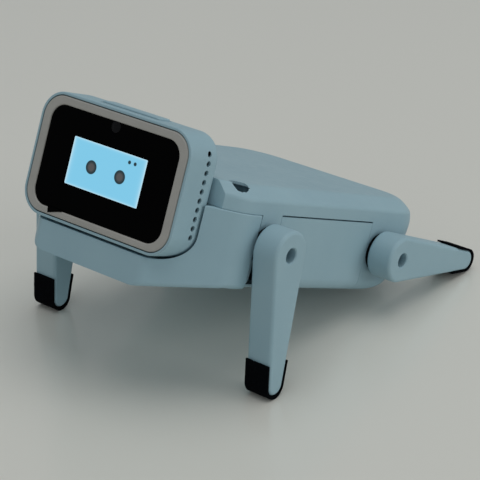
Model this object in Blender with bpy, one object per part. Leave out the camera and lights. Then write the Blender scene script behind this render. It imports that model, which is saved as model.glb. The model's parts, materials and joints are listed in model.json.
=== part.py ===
"""Small desk robot dog: a rounded body, a screen head and four servo legs.

Every object is modelled in the body's own frame, in metres: +X towards the head, +Y to the robot's
left, +Z out of its back, with the origin in the middle of the front hip axle. An empty holds the
whole robot nose-up, so that all four feet stand on the plane Z = 0.
"""

import math

import bmesh
import bpy
from mathutils import Vector

MM = 0.001
GAP = 0.3 * MM
FAR = 60 * MM

# Stance
PITCH = math.radians(23.5)
AXLE_SPACING = 47.0 * MM
FRONT_SWING = math.radians(-13.0)

# Body
HALF_WIDTH = 29.0 * MM
REAR_X = -68.3 * MM
TOP_Z = 12.8 * MM
BOTTOM_Z = -10.2 * MM
SHOULDER_Z = 10.2 * MM
TOP_INSET = 4.0 * MM
TAPER_TOP_INSET = 2.0 * MM
WALL = 1.6 * MM
REAR_RADIUS = 13.0 * MM
TAPER_X = 9.0 * MM
TAPER_RADIUS = 8.0 * MM
CHIN_X = 24.0 * MM
CHIN_HALF = 15.2 * MM
CHIN_RADIUS = 3.0 * MM
CHIN_BOTTOM_Z = -13.9 * MM
BELLY_FILLET = 3.0 * MM
TAIL_RADIUS = 19.0 * MM
SEAM_X = 3.7 * MM
SEAM_Z = 6.9 * MM
SLOT_HEIGHT = 0.45 * MM
PANEL_FRONT_X = -4.3 * MM
PANEL_REAR_X = -42.2 * MM
HIP_HOLE_RADIUS = 5.3 * MM
NOTCH_BOTTOM_Z = -8.0 * MM
SHOULDER_SCREW = (8.5 * MM, 24.1 * MM)
SHOULDER_HOLE_RADIUS = 2.65 * MM
SHOULDER_SEAT_Z = 7.9 * MM
SHOULDER_SLEEVE_RADIUS = 3.3 * MM
SHOULDER_POST_RADIUS = 2.2 * MM
SHOULDER_PILOT_RADIUS = 1.2 * MM
NOTCH_CORNER_Z = -3.1 * MM
NECK_HALF_WIDTH = 7.0 * MM
NECK_Z = (8.4 * MM, 10.6 * MM)

# Head
HEAD_BACK_X = 13.6 * MM
HEAD_FRONT_X = 24.4 * MM
HEAD_HALF_WIDTH = 22.1 * MM
HEAD_LOW_Z = -6.4 * MM
HEAD_HIGH_Z = 21.9 * MM
HEAD_RADIUS = 6.0 * MM
HEAD_BACK_ROUND = 2.2 * MM
HEAD_WALL = 1.5 * MM
HEAD_SEAT_GAP = 0.6 * MM
RIM = 0.75 * MM
BEZEL_DEPTH = 1.9 * MM
GLASS_HALF_WIDTH = 19.25 * MM
GLASS_LOW_Z = -4.2 * MM
GLASS_HIGH_Z = 19.4 * MM
GLASS_RADIUS = 3.8 * MM
SCREEN_CENTRE_Z = 7.83 * MM
LENS_Z = 18.0 * MM
BUTTON_X = (16.6 * MM, 21.0 * MM)
BUTTON_HALF_LENGTH = 8.5 * MM
BUTTON_PROUD = 0.6 * MM
BUTTON_TRAVEL = 0.4 * MM
LUG_Y = (5.0 * MM, 7.6 * MM)
VENT_X = 17.8 * MM
VENT_RADIUS = 0.48 * MM
VENT_PITCH = 2.06 * MM
VENT_LOW_Z = -0.7 * MM
VENT_COUNT = 10
HEAD_SCREW = (12.0 * MM, 3.0 * MM)
DISPLAY_HALF = (13.4 * MM, 6.6 * MM)
DISPLAY_X = (21.4 * MM, 22.9 * MM)
CAMERA_HALF_WIDTH = 3.2 * MM
MAIN_BOARD = ((17.2 * MM, 18.4 * MM), (-19.0 * MM, 8.6 * MM), (-3.0 * MM, 18.0 * MM))
SPEAKER_X = (17.0 * MM, 21.0 * MM)
SPEAKER_CENTRE_Y = 14.9 * MM
SPEAKER_HALF_WIDTH = 5.2 * MM
SPEAKER_Z = (-2.4 * MM, 17.6 * MM)

# Legs
LEG_LENGTH = 30.9 * MM
HIP_RADIUS = 5.6 * MM
TIP_RADIUS = 2.5 * MM
LEG_INNER_Y = 30.0 * MM
LEG_OUTER_Y = 36.8 * MM
LEG_FILLET = 0.9 * MM
PAD_GAP = 0.2 * MM
PAD_THICKNESS = 0.75 * MM
PAD_REACH = 5.4 * MM
SCREW_HOLE_RADIUS = 1.75 * MM
LEG_SCREW_HOLE = 1.1 * MM
HORN_RECESS = 2.1 * MM
LEG_WEB = 0.8 * MM
HORN_RADIUS = 3.5 * MM
HORN_THICKNESS = 1.65 * MM
SHAFT_RADIUS = 2.3 * MM

# Micro servo, measured from its output axle
SERVO_LENGTH = 22.8 * MM
SERVO_HEIGHT = 12.2 * MM
SERVO_AXLE_INSET = 5.9 * MM
SERVO_INNER_Y = 0.4 * MM
SERVO_CASE_TOP_Y = 22.9 * MM
SERVO_TURRET_Y = 27.1 * MM
SERVO_TURRET_RADIUS = 5.85 * MM
SERVO_TAB_Y = (16.3 * MM, 18.7 * MM)
SERVO_TAB_REACH = 4.7 * MM
SERVO_TAB_HOLE = 2.3 * MM
SERVO_TAB_INSET = 1.0 * MM
SERVO_SCREW_HOLE = 1.1 * MM
RIB_THICKNESS = 2.0 * MM

# Rear wall
USB_CENTRE = (-9.0 * MM, 6.0 * MM)
USB_SIZE = (8.9 * MM, 3.2 * MM)
SWITCH_CENTRE = (9.0 * MM, 6.0 * MM)
TAIL_INNER_X = -65.4 * MM
SWITCH_SLOT = (7.2 * MM, 2.6 * MM)
SWITCH_TRAVEL = 2.0 * MM
SWITCH_HALF = (5.0 * MM, 2.4 * MM)
SWITCH_KNOB_HALF = 1.6 * MM
SWITCH_KNOB_PROUD = 0.8 * MM
TAIL_BOARD_X = (3.9 * MM, 5.1 * MM)
TAIL_BOARD_HALF_WIDTH = 15.0 * MM
TAIL_BOARD_Z = (-1.0 * MM, 10.0 * MM)

# Belly screws and battery
BELLY_SCREW_X = (-38.0 * MM, -8.5 * MM)
BELLY_SCREW_Y = 24.7 * MM
BELLY_SCREW_SINK = 0.8 * MM
BELLY_POST_RADIUS = 1.5 * MM
BELLY_POST_HOLE = 1.0 * MM
BATTERY_X = (-45.0 * MM, -3.0 * MM)
BATTERY_HALF_WIDTH = 15.0 * MM
BATTERY_CLEARANCE = 0.5 * MM
RIBBON_X = (-1.0 * MM, 16.9 * MM)
RIBBON_Z = (9.3 * MM, 9.8 * MM)
RIBBON_HALF_WIDTH = 6.0 * MM

SIDES = (("left", 1), ("right", -1))
ROUND_STEPS = 6


# ---------------------------------------------------------------- materials


def material(name, colour, roughness, metallic=0.0):
    made = bpy.data.materials.new(name)
    made.use_nodes = True
    shader = made.node_tree.nodes["Principled BSDF"]
    shader.inputs["Base Color"].default_value = (*colour, 1.0)
    shader.inputs["Roughness"].default_value = roughness
    shader.inputs["Metallic"].default_value = metallic
    made.diffuse_color = (*colour, 1.0)
    return made


# ---------------------------------------------------------------- outlines


def rounded(corners, steps=ROUND_STEPS):
    """The closed outline through (a, b, radius) corners, each turned into an arc."""
    points = []
    for index, (a, b, radius) in enumerate(corners):
        here = Vector((a, b))
        back = (Vector(corners[index - 1][:2]) - here).normalized()
        ahead = (Vector(corners[(index + 1) % len(corners)][:2]) - here).normalized()
        half = back.angle(ahead) / 2
        centre = here + (back + ahead).normalized() * radius / math.sin(half)
        start = here + back * radius / math.tan(half) - centre
        end = here + ahead * radius / math.tan(half) - centre
        sweep = start.angle_signed(end)
        for step in range(steps + 1):
            turn = -sweep * step / steps
            points.append(
                (
                    centre.x + start.x * math.cos(turn) - start.y * math.sin(turn),
                    centre.y + start.x * math.sin(turn) + start.y * math.cos(turn),
                )
            )
    return points


def inset(corners, distances):
    """The corners of a convex outline whose edges move in; edge i ends at corner i."""
    count = len(corners)
    lines = []
    for index in range(count):
        start, end = Vector(corners[index - 1][:2]), Vector(corners[index][:2])
        along = (end - start).normalized()
        inward = Vector((-along.y, along.x))
        lines.append((start + inward * distances[index], along))
    moved = []
    for index in range(count):
        (p, u), (q, v) = lines[index], lines[(index + 1) % count]
        reach = (q - p).cross(v) / u.cross(v)
        radius = corners[index][2] - min(distances[index], distances[(index + 1) % count])
        moved.append((*(p + u * reach), max(radius, GAP)))
    return moved


def body_corners():
    """The body's plan, anticlockwise from the front left of the chin."""
    return [
        (CHIN_X, CHIN_HALF, CHIN_RADIUS),
        (TAPER_X, HALF_WIDTH, TAPER_RADIUS),
        (REAR_X, HALF_WIDTH, REAR_RADIUS),
        (REAR_X, -HALF_WIDTH, REAR_RADIUS),
        (TAPER_X, -HALF_WIDTH, TAPER_RADIUS),
        (CHIN_X, -CHIN_HALF, CHIN_RADIUS),
    ]


def body_plan(side, taper):
    """The plan moved in by side at the sides and tail, and by taper at the tapered front."""
    return rounded(inset(body_corners(), [taper, taper, side, side, side, taper]))


def plain_rectangle(a, b):
    return [(a[1], b[0]), (a[1], b[1]), (a[0], b[1]), (a[0], b[0])]


def round_rectangle(half_a, low_b, high_b, radius):
    return rounded(
        [
            (half_a, low_b, radius),
            (half_a, high_b, radius),
            (-half_a, high_b, radius),
            (-half_a, low_b, radius),
        ]
    )


def circle(a, b, radius, count):
    turns = [2 * math.pi * index / count for index in range(count)]
    return [(a + radius * math.cos(t), b + radius * math.sin(t)) for t in turns]


# ---------------------------------------------------------------- solids

PLANES = {
    "x": lambda a, b, h: (h, a, b),
    "y": lambda a, b, h: (a, h, b),
    "z": lambda a, b, h: (a, b, h),
}


def add_loft(bm, axis, sections):
    """Adds the closed solid through (outline, height) sections stacked along an axis."""
    place = PLANES[axis]
    rings = [[bm.verts.new(place(a, b, h)) for a, b in outline] for outline, h in sections]
    faces = [bm.faces.new(rings[0]), bm.faces.new(rings[-1])]
    for low, high in zip(rings, rings[1:]):
        for index in range(len(low)):
            ahead = (index + 1) % len(low)
            faces.append(bm.faces.new((low[index], low[ahead], high[ahead], high[index])))
    bmesh.ops.recalc_face_normals(bm, faces=faces)


def add_box(bm, x, y, z):
    add_loft(bm, "z", [(plain_rectangle(x, y), z[0]), (plain_rectangle(x, y), z[1])])


def add_prism(bm, axis, outline, low, high):
    add_loft(bm, axis, [(outline, low), (outline, high)])


def add_turned(bm, axis, centre, profile, count):
    """Adds a solid turned about an axis, from (radius, height) points up its outside."""
    sections = [(circle(*centre, radius, count), height) for radius, height in profile]
    add_loft(bm, axis, sections)


def finish_mesh(name, bm, parent):
    mesh = bpy.data.meshes.new(name)
    bm.to_mesh(mesh)
    bm.free()
    made = bpy.data.objects.new(name, mesh)
    bpy.context.scene.collection.objects.link(made)
    made.parent = parent
    return made


def solid(name, bm, look, parent):
    made = finish_mesh(name, bm, parent)
    made.data.materials.append(look)
    made.data.shade_smooth()
    made.data.set_sharp_from_angle(angle=math.radians(30))
    return made


def cutter(name, bm, parent):
    made = finish_mesh("cut_" + name, bm, parent)
    made.hide_render = True
    made.display_type = "WIRE"
    return made


def combine(target, tool, operation="DIFFERENCE"):
    boolean = target.modifiers.new(operation.title() + " " + tool.name, "BOOLEAN")
    boolean.operation = operation
    boolean.solver = "EXACT"
    boolean.object = tool


def empty(name, parent, location=(0, 0, 0), turn_y=0.0):
    made = bpy.data.objects.new(name, None)
    bpy.context.scene.collection.objects.link(made)
    made.parent = parent
    made.location = location
    made.rotation_euler = (0, turn_y, 0)
    return made


# ---------------------------------------------------------------- body


def body_block(bm, shrink=0.0):
    """The body's full outer form, or the same form moved in all round."""
    low, high = BOTTOM_Z + shrink, TOP_Z - shrink
    fillet = BELLY_FILLET - shrink
    sections = []
    for step in range(4):
        turn = math.pi / 2 * step / 3
        drawn_in = fillet * (1 - math.sin(turn)) + shrink
        height = low + fillet * (1 - math.cos(turn))
        sections.append((body_plan(drawn_in, drawn_in), height))
    edge = SHOULDER_Z - shrink * 0.6
    sections.append((body_plan(shrink, shrink), edge))
    sections.append((body_plan(TOP_INSET + shrink * 0.5, TAPER_TOP_INSET + shrink * 0.5), high))
    add_loft(bm, "z", sections)


def side_profile(bm, shrink=0.0):
    """The body's side view: flat belly and a tail that rounds up to the back."""
    low = BOTTOM_Z + shrink
    outline = rounded(
        [
            (REAR_X + shrink, FAR, GAP),
            (REAR_X + shrink, low, TAIL_RADIUS - shrink),
            (FAR, low, GAP),
            (FAR, FAR, GAP),
        ],
        10,
    )
    add_prism(bm, "y", outline, -FAR, FAR)


def front_region(bm, grow=0.0):
    """The space that the front cover takes, which the other two shells stay out of."""
    add_box(bm, (SEAM_X - grow, FAR), (-FAR, FAR), (-FAR, SEAM_Z + grow))


def panel_region(bm, grow=0.0):
    """The space that the bottom cover takes: the belly and the side panels between the legs."""
    top = SEAM_Z + (SLOT_HEIGHT if grow else 0.0)
    outline = [
        (PANEL_REAR_X - grow, -FAR),
        (SEAM_X - GAP, -FAR),
        (SEAM_X - GAP, NOTCH_BOTTOM_Z + grow),
        (PANEL_FRONT_X + grow, NOTCH_BOTTOM_Z + grow),
        (PANEL_FRONT_X + grow, top),
        (PANEL_REAR_X - grow, top),
    ]
    add_prism(bm, "y", outline, -FAR, FAR)


def hip_notches(parent):
    """Openings for the servo turrets: round at the rear, and open downwards at the front."""
    bm = bmesh.new()
    for _, side in SIDES:
        ends = sorted((side * (HALF_WIDTH - 4 * MM), side * (HALF_WIDTH + 1 * MM)))
        add_prism(bm, "y", circle(-AXLE_SPACING, 0, HIP_HOLE_RADIUS, 32), *ends)
        arch = [(SEAM_X + 1 * MM, NOTCH_BOTTOM_Z)]
        for step in range(17):
            turn = math.pi * step / 16
            across, up = HIP_HOLE_RADIUS * math.cos(turn), HIP_HOLE_RADIUS * math.sin(turn)
            arch.append((across, up))
        arch.append((PANEL_FRONT_X, NOTCH_CORNER_Z))
        arch.append((PANEL_FRONT_X, NOTCH_BOTTOM_Z))
        add_prism(bm, "y", arch, *ends)
    return cutter("hip_notches", bm, parent)


def shell_tools(parent):
    """The cutters that every shell shares."""
    tools = {}
    for name, make, amount in (
        ("side_profile", side_profile, 0.0),
        ("cavity_profile", side_profile, WALL),
        ("front_region", front_region, 0.0),
        ("front_space", front_region, GAP),
        ("panel_region", panel_region, 0.0),
        ("panel_space", panel_region, GAP),
    ):
        bm = bmesh.new()
        make(bm, amount)
        tools[name] = cutter(name, bm, parent)
    bm = bmesh.new()
    body_block(bm, WALL)
    tools["cavity"] = cutter("cavity", bm, parent)
    combine(tools["cavity"], tools["cavity_profile"], "INTERSECT")
    bm = bmesh.new()
    add_box(bm, (HEAD_BACK_X - WALL - GAP, FAR), (-FAR, FAR), (-FAR, FAR))
    tools["seat_wall"] = cutter("seat_wall", bm, parent)
    combine(tools["cavity"], tools["seat_wall"])
    tools["hip_notches"] = hip_notches(parent)
    return tools


def shell_body(name, look, parent, tools):
    bm = bmesh.new()
    body_block(bm)
    made = solid(name, bm, look, parent)
    combine(made, tools["side_profile"], "INTERSECT")
    combine(made, tools["cavity"])
    return made


def servo_ribs(parent):
    """Ribs under the roof that the servo tabs are screwed to, in front of and behind each servo."""
    bm = bmesh.new()
    for axle in (0.0, -AXLE_SPACING):
        low_x, high_x = servo_span(axle)
        for x in ((low_x - SERVO_TAB_REACH, low_x - GAP), (high_x + GAP, high_x + SERVO_TAB_REACH)):
            for _, side in SIDES:
                near = SERVO_TAB_Y[1] + GAP
                y = sorted((side * near, side * (near + RIB_THICKNESS)))
                add_box(bm, x, y, (-SERVO_HEIGHT / 2, TOP_Z - WALL / 2))
    return cutter("servo_ribs", bm, parent)


def shell_posts(parent):
    """Posts that the belly screws go into, and the sleeves round the shoulder screws' heads."""
    bm = bmesh.new()
    roof = TOP_Z - WALL / 2
    for x, y in belly_screw_places():
        add_prism(bm, "z", circle(x, y, BELLY_POST_RADIUS, 12), BOTTOM_Z + WALL + GAP, roof)
    for _, side in SIDES:
        x, y = SHOULDER_SCREW
        sleeve = circle(x, side * y, SHOULDER_SLEEVE_RADIUS, 24)
        add_prism(bm, "z", sleeve, SEAM_Z + GAP, SHOULDER_Z + MM)
    return cutter("shell_posts", bm, parent)


def shell_holes(parent):
    """The holes for the belly screws in their posts, and for the shoulder screws."""
    bm = bmesh.new()
    for x, y in belly_screw_places():
        add_prism(bm, "z", circle(x, y, BELLY_POST_HOLE, 10), BOTTOM_Z, BOTTOM_Z + 4 * WALL)
    for _, side in SIDES:
        x, y = SHOULDER_SCREW
        profile = [
            (SHOULDER_PILOT_RADIUS, 0),
            (SHOULDER_PILOT_RADIUS, SHOULDER_SEAT_Z),
            (SHOULDER_HOLE_RADIUS, SHOULDER_SEAT_Z),
            (SHOULDER_HOLE_RADIUS, TOP_Z + MM),
        ]
        add_turned(bm, "z", (x, side * y), profile, 20)
    return cutter("shell_holes", bm, parent)


def rib_holes(parent):
    """Pilot holes in the ribs for the servo screws."""
    bm = bmesh.new()
    for x, side in servo_screw_places():
        near = side * (SERVO_TAB_Y[1] - GAP)
        far = side * (SERVO_TAB_Y[1] + RIB_THICKNESS + 1 * MM)
        add_prism(bm, "y", circle(x, 0, SERVO_SCREW_HOLE, 10), *sorted((near, far)))
    return cutter("rib_holes", bm, parent)


def neck_slot(bm):
    """The slot that the ribbon cable passes through, from the head into the body."""
    x = (HEAD_BACK_X - 3 * MM, HEAD_BACK_X + 3 * MM)
    add_box(bm, x, (-NECK_HALF_WIDTH, NECK_HALF_WIDTH), NECK_Z)


def top_shell(look, parent, tools):
    made = shell_body("top_shell", look, parent, tools)
    bm = bmesh.new()
    add_box(bm, (HEAD_BACK_X - GAP, FAR), (-FAR, FAR), (-FAR, FAR))
    combine(made, cutter("shell_front", bm, parent))
    combine(made, tools["front_space"])
    combine(made, tools["panel_space"])
    combine(made, tools["hip_notches"])
    combine(made, servo_ribs(parent), "UNION")
    combine(made, shell_posts(parent), "UNION")
    combine(made, rib_holes(parent))
    combine(made, shell_holes(parent))
    bm = bmesh.new()
    for centre, size in ((USB_CENTRE, USB_SIZE), (SWITCH_CENTRE, SWITCH_SLOT)):
        half, tall = size[0] / 2 + GAP, size[1] / 2 + GAP
        z = (centre[1] - tall, centre[1] + tall)
        add_box(bm, (REAR_X - 1 * MM, REAR_X + 3 * MM), (centre[0] - half, centre[0] + half), z)
    combine(made, cutter("rear_ports", bm, parent))
    bm = bmesh.new()
    neck_slot(bm)
    combine(made, cutter("neck_slot", bm, parent))


def bottom_cover(look, parent, tools):
    made = shell_body("bottom_cover", look, parent, tools)
    combine(made, tools["panel_region"], "INTERSECT")
    combine(made, tools["hip_notches"])
    bm = bmesh.new()
    sink = BOTTOM_Z + BELLY_SCREW_SINK
    profile = [(1.6 * MM, BOTTOM_Z - MM), (1.6 * MM, sink), (MM, sink), (MM, BOTTOM_Z + 2 * WALL)]
    for x, y in belly_screw_places():
        add_turned(bm, "z", (x, y), profile, 14)
    combine(made, cutter("belly_screw_holes", bm, parent))


def front_cover(look, parent, tools):
    """The chest: tapered sides, a chin that slopes down under the head, and the head's seat."""
    bm = bmesh.new()
    plan = body_plan(0.0, 0.0)
    add_prism(bm, "z", plan, 2 * BOTTOM_Z, SEAM_Z)
    made = solid("front_cover", bm, look, parent)
    slope = (CHIN_BOTTOM_Z - BOTTOM_Z) / (CHIN_X - TAPER_X)
    outline = [
        (SEAM_X, BOTTOM_Z),
        (TAPER_X, BOTTOM_Z),
        (FAR, BOTTOM_Z + slope * (FAR - TAPER_X)),
        (FAR, FAR),
        (SEAM_X, FAR),
    ]
    bm = bmesh.new()
    add_prism(bm, "y", outline, -FAR, FAR)
    combine(made, cutter("chin_profile", bm, parent), "INTERSECT")
    combine(made, tools["cavity"])
    for name, radius, top, operation in (
        ("posts", SHOULDER_POST_RADIUS, SEAM_Z - GAP, "UNION"),
        ("post_holes", SHOULDER_PILOT_RADIUS, SEAM_Z + MM, "DIFFERENCE"),
    ):
        bm = bmesh.new()
        low = BOTTOM_Z + (WALL / 2 if operation == "UNION" else 2 * WALL)
        for _, side in SIDES:
            x, y = SHOULDER_SCREW
            add_prism(bm, "z", circle(x, side * y, radius, 16), low, top)
        combine(made, cutter("chest_" + name, bm, parent), operation)
    grow = HEAD_SEAT_GAP
    bm = bmesh.new()
    seat = round_rectangle(
        HEAD_HALF_WIDTH + grow, HEAD_LOW_Z - grow, HEAD_HIGH_Z + grow, HEAD_RADIUS + grow
    )
    add_prism(bm, "x", seat, HEAD_BACK_X - GAP, FAR)
    combine(made, cutter("head_seat", bm, parent))


# ---------------------------------------------------------------- head


def head_housing(look, parent):
    """A cup, open at the front, with a rebate for the bezel and a slot for the button."""
    bm = bmesh.new()
    sections = []
    for step in range(4):
        turn = math.pi / 2 * step / 3
        drawn_in = HEAD_BACK_ROUND * (1 - math.sin(turn))
        x = HEAD_BACK_X + HEAD_BACK_ROUND * (1 - math.cos(turn))
        sections.append((head_outline(drawn_in), x))
    sections.append((head_outline(0.0), HEAD_FRONT_X))
    add_loft(bm, "x", sections)
    made = solid("head_housing", bm, look, parent)
    bm = bmesh.new()
    rebate_x = HEAD_FRONT_X - BEZEL_DEPTH - GAP
    inner = head_outline(HEAD_WALL)
    add_loft(
        bm,
        "x",
        [
            (inner, HEAD_BACK_X + HEAD_WALL),
            (inner, rebate_x),
            (head_outline(RIM), rebate_x),
            (head_outline(RIM), HEAD_FRONT_X + 1 * MM),
        ],
    )
    combine(made, cutter("head_cavity", bm, parent))
    bm = bmesh.new()
    x = (BUTTON_X[0] - GAP, BUTTON_X[1] + GAP)
    half = BUTTON_HALF_LENGTH + GAP
    add_box(bm, x, (-half, half), (HEAD_HIGH_Z - 3 * MM, HEAD_HIGH_Z + 1 * MM))
    combine(made, cutter("button_slot", bm, parent))
    bm = bmesh.new()
    for index in range(VENT_COUNT):
        z = VENT_LOW_Z + index * VENT_PITCH
        for _, side in SIDES:
            ends = sorted((side * (HEAD_HALF_WIDTH - 3 * MM), side * (HEAD_HALF_WIDTH + 1 * MM)))
            add_prism(bm, "y", circle(VENT_X, z, VENT_RADIUS, 10), *ends)
    combine(made, cutter("vents", bm, parent))
    bm = bmesh.new()
    neck_slot(bm)
    for _, side in SIDES:
        hole = circle(side * HEAD_SCREW[0], HEAD_SCREW[1], 1.2 * MM, 12)
        add_prism(bm, "x", hole, HEAD_BACK_X - 1 * MM, HEAD_BACK_X + 3 * MM)
    combine(made, cutter("head_back_holes", bm, parent))


def head_outline(drawn_in):
    return round_rectangle(
        HEAD_HALF_WIDTH - drawn_in,
        HEAD_LOW_Z + drawn_in,
        HEAD_HIGH_Z - drawn_in,
        HEAD_RADIUS - drawn_in,
    )


def head_front(looks, parent):
    """The bezel ring, the glass in it and the display behind the glass."""
    back = HEAD_FRONT_X - BEZEL_DEPTH
    bm = bmesh.new()
    add_prism(bm, "x", head_outline(RIM + GAP), back, HEAD_FRONT_X + 0.1 * MM)
    bezel = solid("head_bezel", bm, looks["bezel"], parent)
    bm = bmesh.new()
    opening = round_rectangle(GLASS_HALF_WIDTH, GLASS_LOW_Z, GLASS_HIGH_Z, GLASS_RADIUS)
    add_prism(bm, "x", opening, back - 1 * MM, HEAD_FRONT_X + 1 * MM)
    combine(bezel, cutter("bezel_opening", bm, parent))
    bm = bmesh.new()
    pane = round_rectangle(
        GLASS_HALF_WIDTH - GAP, GLASS_LOW_Z + GAP, GLASS_HIGH_Z - GAP, GLASS_RADIUS - GAP
    )
    add_prism(bm, "x", pane, HEAD_FRONT_X - 1.2 * MM, HEAD_FRONT_X - 0.1 * MM)
    solid("screen_glass", bm, looks["glass"], parent)
    bm = bmesh.new()
    half_y, half_z = DISPLAY_HALF
    z = (SCREEN_CENTRE_Z - half_z, SCREEN_CENTRE_Z + half_z)
    add_box(bm, DISPLAY_X, (-half_y, half_y), z)
    solid("display_panel", bm, looks["screen"], parent)


def head_inside(looks, parent):
    """Camera, main board and speaker between the display and the back of the head."""
    bm = bmesh.new()
    x = HEAD_FRONT_X - 1.5 * MM
    z = (LENS_Z - 1.7 * MM, LENS_Z + 1.6 * MM)
    add_box(bm, (x - 4.2 * MM, x - 1.2 * MM), (-CAMERA_HALF_WIDTH, CAMERA_HALF_WIDTH), z)
    camera = solid("camera_module", bm, looks["black"], parent)
    bm = bmesh.new()
    barrel = [(1.5 * MM, x - 2 * MM), (1.5 * MM, x - 0.4 * MM), (1.2 * MM, x)]
    add_turned(bm, "x", (0, LENS_Z), barrel, 18)
    combine(camera, cutter("camera_barrel", bm, parent), "UNION")
    bm = bmesh.new()
    add_box(bm, *MAIN_BOARD)
    solid("main_board", bm, looks["board"], parent)
    bm = bmesh.new()
    case = round_rectangle(SPEAKER_HALF_WIDTH, *SPEAKER_Z, 2.0 * MM)
    add_prism(bm, "x", [(a + SPEAKER_CENTRE_Y, b) for a, b in case], *SPEAKER_X)
    solid("speaker", bm, looks["black"], parent)


def head_button(looks, parent):
    """A bar with two lugs that keep it in the head; the left lug presses a small switch."""
    guide = empty("button_guide", parent, (0, 0, HEAD_HIGH_Z))
    x = BUTTON_X
    half = BUTTON_HALF_LENGTH
    corners = [(x[1], -half), (x[1], half), (x[0], half), (x[0], -half)]
    bm = bmesh.new()
    add_prism(bm, "z", rounded([(*p, 0.8 * MM) for p in corners], 3), -HEAD_WALL, BUTTON_PROUD)
    made = solid("head_button", bm, looks["shell"], guide)
    foot = -2 * HEAD_WALL
    for part, reach, top in (("neck", 0.0, 0.1 * MM - HEAD_WALL), ("lugs", 0.6 * MM, foot + 1.2 * MM)):
        bm = bmesh.new()
        for _, side in SIDES:
            y = sorted((side * LUG_Y[0], side * LUG_Y[1]))
            add_box(bm, (x[0] - reach, x[1] + reach * 0.8), y, (foot, top))
        combine(made, cutter("button_" + part, bm, guide), "UNION")
    bm = bmesh.new()
    top = HEAD_HIGH_Z + foot - BUTTON_TRAVEL - 0.1 * MM
    add_box(bm, (18.7 * MM, 21.0 * MM), LUG_Y, (top - 1.2 * MM, top))
    solid("button_switch", bm, looks["black"], parent)


def head_screws(look, parent):
    """Two screws through the back of the head into the front cover."""
    for name, side in SIDES:
        bm = bmesh.new()
        x = HEAD_BACK_X + HEAD_WALL
        add_turned(
            bm,
            "x",
            (side * HEAD_SCREW[0], HEAD_SCREW[1]),
            [(1.0 * MM, HEAD_BACK_X), (1.0 * MM, x + GAP), (1.9 * MM, x + GAP), (1.9 * MM, x + 1.0 * MM)],
            14,
        )
        solid("head_screw_" + name, bm, look, parent)


# ---------------------------------------------------------------- legs


def leg_outline(grow, reach=None):
    """The tapered leg seen from its side, hip at the origin and foot towards -b.

    With a reach it is only the part round the foot, up to that height above the foot's centre.
    """
    lean = math.asin((HIP_RADIUS - TIP_RADIUS) / LEG_LENGTH)
    points = []
    steps = 14
    if reach is None:
        for step in range(steps + 1):
            turn = -lean + (math.pi + 2 * lean) * step / steps
            radius = HIP_RADIUS + grow
            points.append((radius * math.cos(turn), radius * math.sin(turn)))
    else:
        slack = reach * math.tan(lean)
        edge = (TIP_RADIUS + grow) / math.cos(lean) + slack
        points.append((edge, reach - LEG_LENGTH))
        points.append((-edge, reach - LEG_LENGTH))
    for step in range(steps + 1):
        turn = math.pi + lean + (math.pi - 2 * lean) * step / steps
        radius = TIP_RADIUS + grow
        points.append((radius * math.cos(turn), radius * math.sin(turn) - LEG_LENGTH))
    return points


def leg(name, side, holder, looks):
    ends = sorted((side * LEG_INNER_Y, side * LEG_OUTER_Y))
    bm = bmesh.new()
    add_prism(bm, "y", leg_outline(0.0), *ends)
    made = solid("leg_" + name, bm, looks["shell"], holder)
    bevel = made.modifiers.new("Rounded edges", "BEVEL")
    bevel.width = LEG_FILLET
    bevel.segments = 2
    bevel.limit_method = "ANGLE"
    bevel.angle_limit = math.radians(60)
    recess = LEG_INNER_Y + HORN_RECESS
    web = recess + LEG_WEB
    bm = bmesh.new()
    profile = [
        (HORN_RADIUS + 0.4 * MM, LEG_INNER_Y - 1 * MM),
        (HORN_RADIUS + 0.4 * MM, recess),
        (LEG_SCREW_HOLE, recess),
        (LEG_SCREW_HOLE, web),
        (SCREW_HOLE_RADIUS, web),
        (SCREW_HOLE_RADIUS, LEG_OUTER_Y + 1 * MM),
    ]
    add_turned(bm, "y", (0, 0), [(radius, side * y) for radius, y in profile], 20)
    combine(made, cutter("leg_bore_" + name, bm, holder))


def foot_pad(name, side, holder, looks):
    """A strip of foam rubber bent round the foot."""
    ends = sorted((side * LEG_INNER_Y, side * LEG_OUTER_Y))
    bm = bmesh.new()
    add_prism(bm, "y", leg_outline(PAD_GAP + PAD_THICKNESS, PAD_REACH), *ends)
    made = solid("foot_pad_" + name, bm, looks["foam"], holder)
    bm = bmesh.new()
    wide = sorted((side * (LEG_INNER_Y - 1 * MM), side * (LEG_OUTER_Y + 1 * MM)))
    add_prism(bm, "y", leg_outline(PAD_GAP, PAD_REACH + 2 * MM), *wide)
    combine(made, cutter("foot_space_" + name, bm, holder))


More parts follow.
